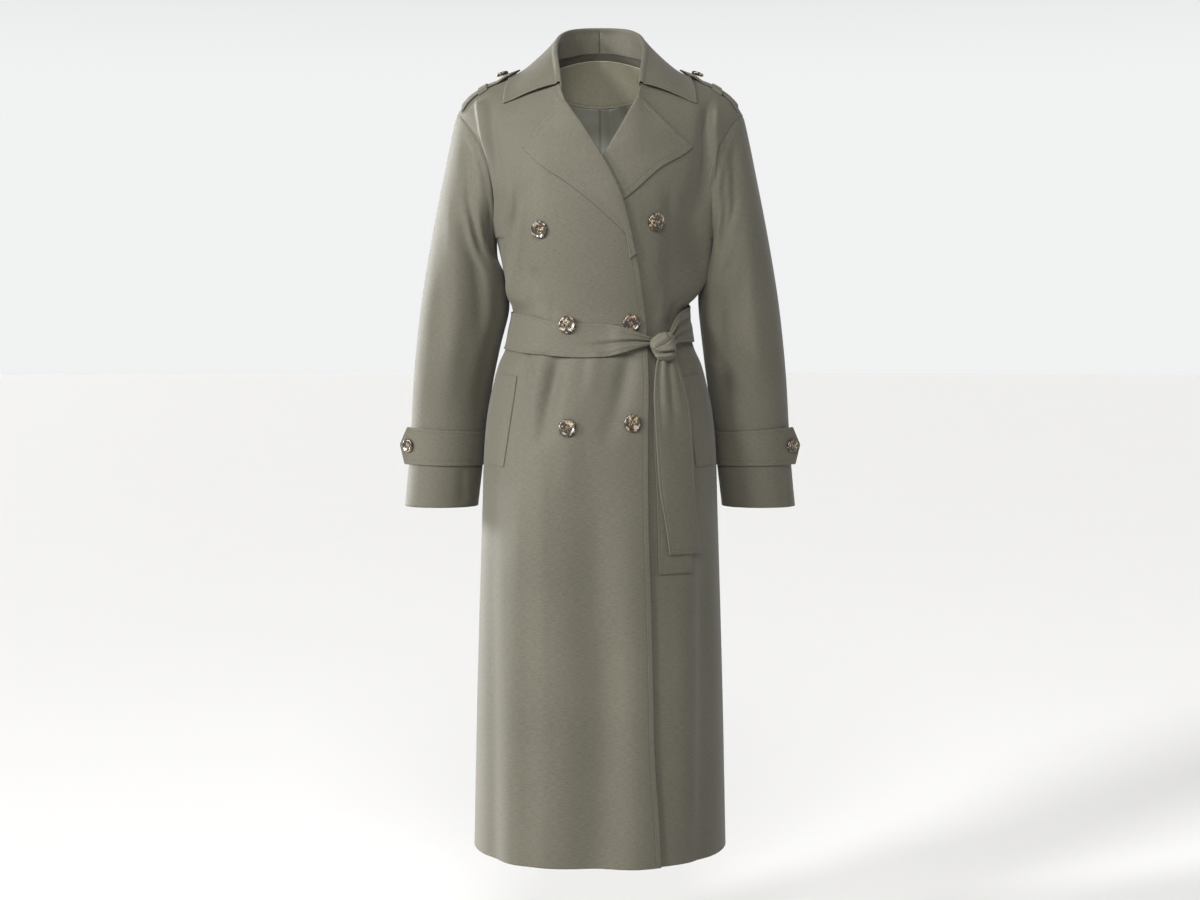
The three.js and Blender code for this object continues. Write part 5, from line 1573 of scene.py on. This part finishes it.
    def build(self, room: Workroom) -> None:
        """Makes the sleeve, its strap and the strap's stitching."""
        word = self.side.word
        sleeve = self.sleeve(room.form)
        sleeve.dent(Channel(Border.LAST_ROW, 26, 0.25, 2.0))
        room.sew(sleeve, (f"sleeve_{word}",))
        strap = self.strap(room.form)
        lines = (Channel(Border.FIRST_ROW, 5.5), Channel(Border.LAST_ROW, 5.5))
        strap.press(lines)
        thread = Stitching(f"stitching_cuff_{word}")
        for line in lines:
            thread.run(strap.line(line, (0.0, 0.05)))
        room.sew(strap, (f"cuff_strap_{word}",))
        thread.build(room)


# Shoulders.
@dataclass
class Shoulder:
    """Epaulette along the top of one shoulder, with the loop that keeps it down."""

    side: Side
    seam: float = 198.0
    tip: float = 114.0
    half: float = 20.0
    point: float = 14.0

    def rise(self, x: Array) -> Array:
        """Distance of the epaulette's face off the shoulder, more where it passes over the collar."""
        return 2.9 + 4.6 * ease(150, 132, x)

    def epaulette(self, form: CoatForm) -> Cloth:
        """The epaulette on its grid, narrowed to a point towards the neck."""
        x = mix(self.seam, self.tip, crowded(74, 0.6))[:, None]
        end = np.clip((self.tip + self.point - x) / self.point, 0, 1)
        half = self.half * mix(1, 0.12, end)
        y = 2 + half * (2 * crowded(40, 0.7)[None] - 1)
        x, y = np.broadcast_arrays(x, y)
        p = form.shoulder_top(x, y, self.rise(x))
        points = p * np.array([self.side.value, 1, 1])
        return Cloth(f"epaulette_{self.side.word}_cloth", points, xyz(0, 0, np.ones(x.shape)), 1.8)

    def keeper(self, form: CoatForm) -> Cloth:
        """The loop across the epaulette, its ends turned down to the shoulder."""
        c = np.linspace(-1, 1, 48)[None]
        x = mix(162.0, 174.0, crowded(12, 0.6))[:, None]
        x, y = np.broadcast_arrays(x, 2 + 24 * c)
        rise = mix(1.6, 4.8, ease(24, 20.5, np.abs(y - 2)))
        points = form.shoulder_top(x, y, rise) * np.array([self.side.value, 1, 1])
        return Cloth(f"keeper_{self.side.word}_cloth", points, xyz(0, 0, np.ones(x.shape)), 1.4)

    def button_seat(self, form: CoatForm) -> tuple[Array, Array]:
        """Place and facing of the epaulette's button."""
        own = np.array([self.side.value, 1, 1])
        at = form.shoulder_top(np.array(139.0), np.array(2.0), float(self.rise(np.array(139.0))) + 0.9)
        slope = form.shoulder_top(np.array(144.0), np.array(2.0), 0.0) - form.shoulder_top(
            np.array(134.0), np.array(2.0), 0.0)
        up = unit(np.array([-slope[2], 0, slope[0]]))
        return (at + np.array([0, 0, 0.8])) * own, up * own

    def build(self, room: Workroom) -> None:
        """Makes the epaulette, its loop and their stitching."""
        strap = self.epaulette(room.form)
        lines = (Channel(Border.FIRST_COLUMN, 4.5), Channel(Border.LAST_COLUMN, 4.5))
        strap.press(lines)
        thread = Stitching(f"stitching_shoulder_{self.side.word}")
        for line in lines:
            thread.run(strap.line(line, (0.04, 0.1)))
        room.sew(strap, (f"epaulette_{self.side.word}",))
        room.sew(self.keeper(room.form), (f"keeper_{self.side.word}",))
        thread.build(room)


# Belt.
@dataclass
class Belt:
    """The belt: the band round the waist, the knot and its two hanging ends."""

    around: int = 420
    across: int = 44
    front_rows: tuple = (
        (-133, -358, -410), (-100, -364, -416), (-60, -372, -421), (-20, -375, -423), (7, -376, -422),
        (29, -380, -417), (46, -386, -411), (66, -395, -406), (84, -396, -408), (93, -384, -406),
        (106, -364, -402), (120, -354, -401), (136, -346, -400),
    )
    back_rows: tuple = ((-136, -357, -409), (0, -349, -399), (136, -346, -399))
    rise_rows: tuple = ((-140, 0.9), (-112, 1.6), (-76, 6.6), (8, 6.8), (28, 11), (92, 11.4), (118, 4.4), (140, 0.7))
    tail_front: tuple = (
        (-424, 78, 97, 17), (-431, 75, 101, 13.5), (-452, 74, 110, 8.5), (-478, 74, 120, 4.6), (-500, 75, 124, 4.2),
        (-550, 78, 127.5, 4), (-606, 82, 131, 4), (-654, 90, 136.5, 4), (-698, 96, 142, 4),
    )
    tail_back: tuple = (
        (-436, 80, 98, 2.0), (-446, 78, 104, 1.2), (-500, 76, 120, 0.9), (-550, 76, 124, 0.9),
        (-606, 79, 127, 0.9), (-668, 81, 129, 0.9), (-725, 82, 129.5, 0.9),
    )
    wall: float = 2.0
    knot_at: tuple = (83.0, -406.0)
    knot_depth: float = 10.5
    # Outline of the knot from the front: degrees from the right, then millimetres from its middle.
    knot_outline: tuple = (
        (-32.5, 20.6), (0, 17.6), (25, 18.5), (42, 21.4), (60, 21.8), (82, 20.3), (107, 18.9), (133, 18.2),
        (155, 19.6), (176, 18), (200, 16.4), (228, 16.7), (257, 19), (286, 20.2), (307, 23.4), (327.5, 20.6),
        (360, 17.6), (385, 18.5),
    )

    def band(self, form: CoatForm) -> Cloth:
        """The band on its grid, drawn together with deep pleats on both sides of the knot."""
        top_f, low_f = columns(self.front_rows)
        top_b, low_b = columns(self.back_rows)
        rise_f = columns(self.rise_rows)[0]
        turn = (2 * np.pi * np.arange(self.around) / self.around)[None]
        across = crowded(self.across, 0.75)[:, None]
        turn, across = np.broadcast_arrays(turn, across)
        side = np.where(np.cos(turn) >= 0, -1.0, 1.0)
        angle = np.arcsin(np.clip(np.sin(turn), -1, 1))
        guess = form.half(-385.0) * np.sin(angle)
        top = np.where(side < 0, top_f(guess), top_b(guess))
        low = np.where(side < 0, low_f(guess), low_b(guess))
        z = mix(top, low, across)
        x = form.half(z) * np.sin(angle)
        rise = np.where(side < 0, rise_f(x), 0.9)
        base = form.base(angle, z, side)
        folds = form.fold(angle, base[..., 0], z, side)
        pleat = np.where(side < 0, self.pleats(x, across), self.pleats_behind(x, across))
        out = np.maximum(folds, -0.2) + rise + self.wall + pleat
        points = base + form.normal(angle, z, side) * out[..., None]
        return Cloth("belt_band_cloth", points, from_body(points), self.wall, around=True)

    def pleats(self, x: Array, across: Array) -> Array:
        """Rise of the front band's pleats: bells over the share across, growing towards the knot."""
        near = ease(-40, 58, x)
        close = ease(10, 66, x)
        far = ease(138, 100, x) * ease(80, 92, x)
        fold = -3.4 * hump(across - mix(0.66, 0.55, near), 0.085) * ease(-34, 34, x)
        lip = 2.0 * hump(across - mix(0.5, 0.42, near), 0.12) * near
        under = 1.6 * hump(across - 0.82, 0.12) * near
        small = -1.6 * hump(across - 0.24, 0.06) * close
        left = (fold + lip + under + small) * ease(84, 74, x)
        right = (-3.0 * hump(across - 0.42, 0.08) + 2.2 * hump(across - 0.24, 0.12)
                 - 2.2 * hump(across - 0.74, 0.07) + 1.6 * hump(across - 0.6, 0.08)) * far
        slack = 0.5 * np.sin(across * np.pi) * np.sin(x / 17.0)
        return left + right + slack

    def pleats_behind(self, x: Array, across: Array) -> Array:
        """Slight slack waves of the band behind: two slow sines along it, full across its middle."""
        return 0.7 * np.sin(np.pi * across) * (np.sin(x / 23.0) + 0.6 * np.sin(x / 9.7 + 1.3))

    def knot(self, room: Workroom) -> bpy.types.Object:
        """The knot: a rounded lump whose wraps are parted by creases.

        Args:
            room: the workroom.

        Returns:
            The piece; its surface is a rounded lump that bells along lines on its front press in or lift.
        """
        form = room.form
        depth = self.knot_depth
        anchor = form.on_front(np.array(self.knot_at[0]), np.array(self.knot_at[1]), 11.4 + self.wall + 3.6 + depth)
        anchor = anchor + np.array([-8.0, 0.5, -5.5])
        a = (2 * np.pi * np.arange(150) / 150)[None]
        b = np.linspace(0, np.pi, 84)[1:-1, None]
        angle, reach = (np.array(v) for v in zip(*self.knot_outline))
        radius = np.interp(np.degrees(a), angle, reach)
        radius = sum(np.roll(radius, k, axis=1) for k in range(-5, 6)) / 11
        flat = np.sin(b) ** 0.75
        px, pz = radius * flat * np.cos(a), radius * flat * np.sin(a)
        y = -depth * np.sign(np.cos(b)) * np.abs(np.cos(b)) ** 0.85 + 0 * a

        def bell(line: tuple[tuple[float, float], ...], width: float) -> Array:
            """Bell of the distance to the nearest stretch of a line of (x, z) points."""
            near = np.full(px.shape, 1e9)
            for (x0, z0), (x1, z1) in zip(line, line[1:]):
                dx, dz = x1 - x0, z1 - z0
                t = np.clip(((px - x0) * dx + (pz - z0) * dz) / (dx * dx + dz * dz), 0, 1)
                near = np.minimum(near, np.hypot(px - x0 - t * dx, pz - z0 - t * dz))
            return hump(near, width)

        front = ease(-1.5, 3.0, -y)
        rise = (
            -5.0 * bell(((-17, -4), (-11, -8), (-4, -9.5), (6, -8.5), (17, -7)), 1.8)
            + 2.0 * bell(((-13, -2), (-4, -5), (6, -4.5), (15, -2)), 3.0)
            - 1.1 * bell(((-18, 7), (-12, 9), (-4, 14), (1, 19)), 1.3)
            + 1.6 * bell(((-12, 3), (-3, 8), (5, 14)), 4.2)
            - 1.0 * bell(((-9, -2), (1, 2.5), (9, 8), (14, 13)), 1.2)
            - 1.6 * bell(((6, 20), (9, 14), (16, 9)), 1.5)
            + 1.6 * bell(((-8, -13.5), (2, -13), (12, -12)), 2.6)
        ) * front
        n = unit(xyz(px / 18**2, y / depth**2, pz / 20**2))
        body = anchor + xyz(px, y, pz) + n * rise[..., None]
        ends = [anchor + np.array([0, -depth, 0]), anchor + np.array([0, depth, 0])]
        made = ringed_shell("belt_knot_cloth", body, ends, room.finishes.twill)
        mesh = made.data
        corners = np.empty(len(mesh.loops), dtype=np.int32)
        mesh.loops.foreach_get("vertex_index", corners)
        x, _, z = (np.concatenate([body.reshape(-1, 3), ends]) * MM)[corners].T
        flat = np.stack([x * 0.8 + z * 0.6, z * 0.8 - x * 0.6], -1)
        mesh.uv_layers.new(name="cloth").data.foreach_set("uv", flat.astype(np.float32).ravel())
        room.hand_in(made, "twill", "belt_knot")
        return made

    def tail(self, form: CoatForm, name: str, rows: tuple, waves: float) -> Cloth:
        """One hanging end on its grid, gathered under the knot and easing out to its full width."""
        height, left, right, rise = columns(rows, keyed=False)
        at = (crowded(96, 0.4) * (len(rows) - 1))[:, None]
        c = crowded(40, 0.7)[None]
        z = height(at)
        x = mix(left(at), right(at), c)
        gather = ease(-545, -440, z) * waves
        bell = (2.4 * hump(c - 0.34, 0.11) - 2.6 * hump(c - 0.52, 0.08)
                + 2.0 * hump(c - 0.72, 0.1) - 1.4 * hump(c - 0.16, 0.06))
        slow = waves * np.sin((z + 30 * c) / 34.0) * np.sin(np.pi * c) * ease(-470, -560, z)
        x, z, out = np.broadcast_arrays(x, z + 0 * c, rise(at) + self.wall + gather * bell + slow + 0.6 * waves)
        points = form.on_front(x, z, out)
        return Cloth(name, points, from_body(points), self.wall)

    def build(self, room: Workroom) -> None:
        """Makes the band, the knot, the hanging ends and their stitching."""
        thread = Stitching("stitching_belt")
        band = self.band(room.form)
        edges = (Channel(Border.FIRST_ROW, 4.2), Channel(Border.LAST_ROW, 4.2))
        band.press(edges)
        for line in edges:
            thread.run(band.line(line))
        room.sew(band, ("belt",))
        self.knot(room)
        for name, rows, node, waves in (("tail_front_cloth", self.tail_front, "belt_tail_front", 1.0),
                                        ("tail_back_cloth", self.tail_back, "belt_tail_back", 0.3)):
            tail = self.tail(room.form, name, rows, waves)
            lines = tuple(Channel(b, 4.2) for b in (Border.FIRST_COLUMN, Border.LAST_COLUMN, Border.LAST_ROW))
            tail.press(lines)
            for line in lines:
                thread.run(tail.line(line, (0.06, 0.02)))
            room.sew(tail, (node,))
        thread.build(room)


# Buttons.
@dataclass
class Buttons:
    """Round four-hole buttons: a rim round a shallow dish, four wells in it and a cross of thread."""

    radius: float = 12.5
    cuff: float = 10.0
    shoulder: float = 9.0
    around: int = 56
    spots: tuple = (
        ("button_top_right", -82.0, -242.0, 0.5), ("button_top_left", 78.0, -232.0, 0.5),
        ("button_waist_right", -43.5, -376.5, 4.0), ("button_waist_left", 42.5, -374.0, 0.5),
        ("button_low_right", -44.0, -520.0, 0.5), ("button_low_left", 44.5, -513.5, 0.1),
    )

    def button(self, room: Workroom, thread: Stitching, node: str, place: Array, facing: Array,
               radius: float) -> None:
        """Makes one button.

        Args:
            room: the workroom.
            thread: takes the cross of thread.
            node: the solid that it stands for.
            place: middle of its back.
            facing: direction that its face looks along.
            radius: its size.
        """
        n = unit(facing)
        u = unit(np.cross(n, np.array([0.3, 0.1, 1.0])))
        v = np.cross(n, u)
        r = radius
        profile = np.array([(0.3, 0), (r - 1.6, 0), (r - 0.5, 0.5), (r, 1.6), (r - 0.1, 2.7), (r - 0.7, 3.8),
                            (r - 1.6, 4.2), (r - 2.6, 4.1), (r - 3.4, 3.6), (r - 4.2, 3.25)])
        inner = np.linspace(r - 4.8, 0.25, 26)
        profile = np.concatenate([profile, np.stack([inner, np.full(26, 3.2)], 1)])
        turn = (2 * np.pi * np.arange(self.around) / self.around)[None]
        pr, pz = profile[:, :1], profile[:, 1:]
        x, y, z = pr * np.cos(turn), pr * np.sin(turn), pz + 0 * turn
        hole, well = 0.19 * r, 0.088 * r
        face = (np.arange(len(profile)) > 8)[:, None]
        for sx, sy in ((1, 1), (1, -1), (-1, 1), (-1, -1)):
            near = np.hypot(x - sx * hole, y - sy * hole)
            z = z - np.where(face, 2.3 * ease(well * 1.15, well * 0.6, near), 0)
        points = place + x[..., None] * u + y[..., None] * v + z[..., None] * n
        ends = [place + 0 * n, place + n * float(z[-1].mean())]
        room.hand_in(ringed_shell(f"{node}_shell", points, ends, room.finishes.shell), "button_shell", node)
        for along in (u + v, u - v):
            thread.bars((place + n * 3.15)[None], along[None], n[None], 2 * hole * 1.42)

    def build(self, room: Workroom, sleeves: list[Sleeve], shoulders: list[Shoulder]) -> None:
        """Makes the ten buttons with their thread."""
        thread = Stitching("button_thread", radius=0.42)
        form = room.form
        edge = columns(Fronts().right_edge)[0]
        for node, x, z, rise in self.spots:
            lapped = bool(x < -float(edge(z)))
            xa, za = np.array(x), np.array(z)
            angle = form.angle(xa, za)
            self.button(room, thread, node, form.skin(angle, za, -1, rise, lapped), form.normal(angle, za, -1),
                        self.radius)
        for sleeve in sleeves:
            self.button(room, thread, f"cuff_button_{sleeve.side.word}", *sleeve.button_seat(form), self.cuff)
        for shoulder in shoulders:
            self.button(room, thread, f"epaulette_button_{shoulder.side.word}", *shoulder.button_seat(form),
                        self.shoulder)
        thread.build(room)


# Studio.
@dataclass
class Studio:
    """Plain pale floor, soft lights and the camera at the photograph's angle."""

    eye: tuple = (0.0, -2.775, -0.382)
    aim: tuple = (0.0, 0.0, -0.559)
    lens: float = 56.748
    floor: float = -1.36
    floor_reach: float = 40.0
    # Name, kind, place, aim, spread, power and tone of each light.
    lights: tuple = (
        ("key_light", "SUN", (-3.8, -1.55, 0.6), (0.0, 0.0, -0.5), 0.16, 3.4, (1.0, 0.985, 0.96)),
        ("front_key", "SUN", (-3.0, -3.0, 1.2), (0.0, 0.0, -0.5), 0.2, 2.3, (1.0, 0.99, 0.975)),
        ("rim_light", "SUN", (-3.0, 2.3, 0.1), (0.0, 0.0, -0.5), 0.2, 4.5, (1.0, 1.0, 1.0)),
        ("neck_light", "AREA", (-0.1, -1.9, 0.9), (0, 0, -0.1), 0.8, 42, (1.0, 0.99, 0.975)),
    )

    def light(self, name: str, kind: str, place: tuple, aim: tuple, spread: float, power: float,
              tone: tuple) -> None:
        """Adds one soft light that looks at a point.

        Args:
            name: the light's name.
            kind: SUN for an even light from far off, AREA for a soft box.
            place: where it stands, or the side that it comes from.
            aim: the point that it looks at.
            spread: a sun's angle in radians, or a soft box's size in metres.
            power: its strength.
            tone: its colour.
        """
        data = bpy.data.lights.new(name, kind)
        setattr(data, "angle" if kind == "SUN" else "size", spread)
        data.energy = power
        data.color = tone
        made = bpy.data.objects.new(name, data)
        made.location = place
        made.rotation_euler = (Vector(aim) - Vector(place)).to_track_quat("-Z", "Y").to_euler()
        bpy.context.scene.collection.objects.link(made)

    def build(self) -> None:
        """Makes the camera, the floor, the sky and the lights."""
        data = bpy.data.cameras.new("photo_camera")
        data.sensor_fit = "HORIZONTAL"
        data.sensor_width = 36.0
        data.lens = self.lens
        data.clip_end = 200.0
        camera = bpy.data.objects.new("photo_camera", data)
        camera.location = self.eye
        camera.rotation_euler = (Vector(self.aim) - Vector(self.eye)).to_track_quat("-Z", "Y").to_euler()
        bpy.context.scene.collection.objects.link(camera)
        bpy.context.scene.camera = camera
        sky = Bench("studio_sky", sky=True)
        ray = sky.node("ShaderNodeTexCoord")["Generated"]
        parts = sky.node("ShaderNodeSeparateXYZ", {}, {"Vector": ray})
        rise = parts["Z"]
        tone = sky.blend(rise.step(0.12, 0.4), (0.88, 0.885, 0.89), (0.08, 0.08, 0.08))
        tone = sky.blend(parts["X"].step(0.35, 0.8), tone, (0.6, 0.6, 0.6))
        tone = sky.blend(rise.step(0.66, 0.92), tone, (0.4, 0.4, 0.4))
        glow = sky.node("ShaderNodeBackground", {}, {"Color": tone})["Background"]
        sky.node("ShaderNodeOutputWorld", {}, {"Surface": glow})
        bpy.context.scene.world = sky.material
        bpy.context.scene.view_settings.view_transform = "Standard"
        turn = 2 * np.pi * np.arange(64) / 64
        rim = xyz(self.floor_reach * np.cos(turn), self.floor_reach * np.sin(turn), self.floor)
        mesh = bpy.data.meshes.new("studio_floor")
        mesh.from_pydata(rim.tolist(), [], [list(range(64))])
        mesh.materials.append(StudioPaper().material())
        floor = bpy.data.objects.new("studio_floor", mesh)
        bpy.context.scene.collection.objects.link(floor)
        for row in self.lights:
            self.light(*row)


def main() -> None:
    """Builds the coat piece by piece, then the studio."""
    logging.basicConfig(level=logging.INFO, format="%(message)s")
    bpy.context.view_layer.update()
    room = Workroom()
    fronts = Fronts()
    fronts.build(room)
    Back().build(room, fronts.heights(room.form))
    Collar().build(room)
    sleeves = [Sleeve(side) for side in Side]
    shoulders = [Shoulder(side) for side in Side]
    for part in (*sleeves, *shoulders, Belt()):
        part.build(room)
    Buttons().build(room, sleeves, shoulders)
    Studio().build()


if __name__ == "__main__":
    main()
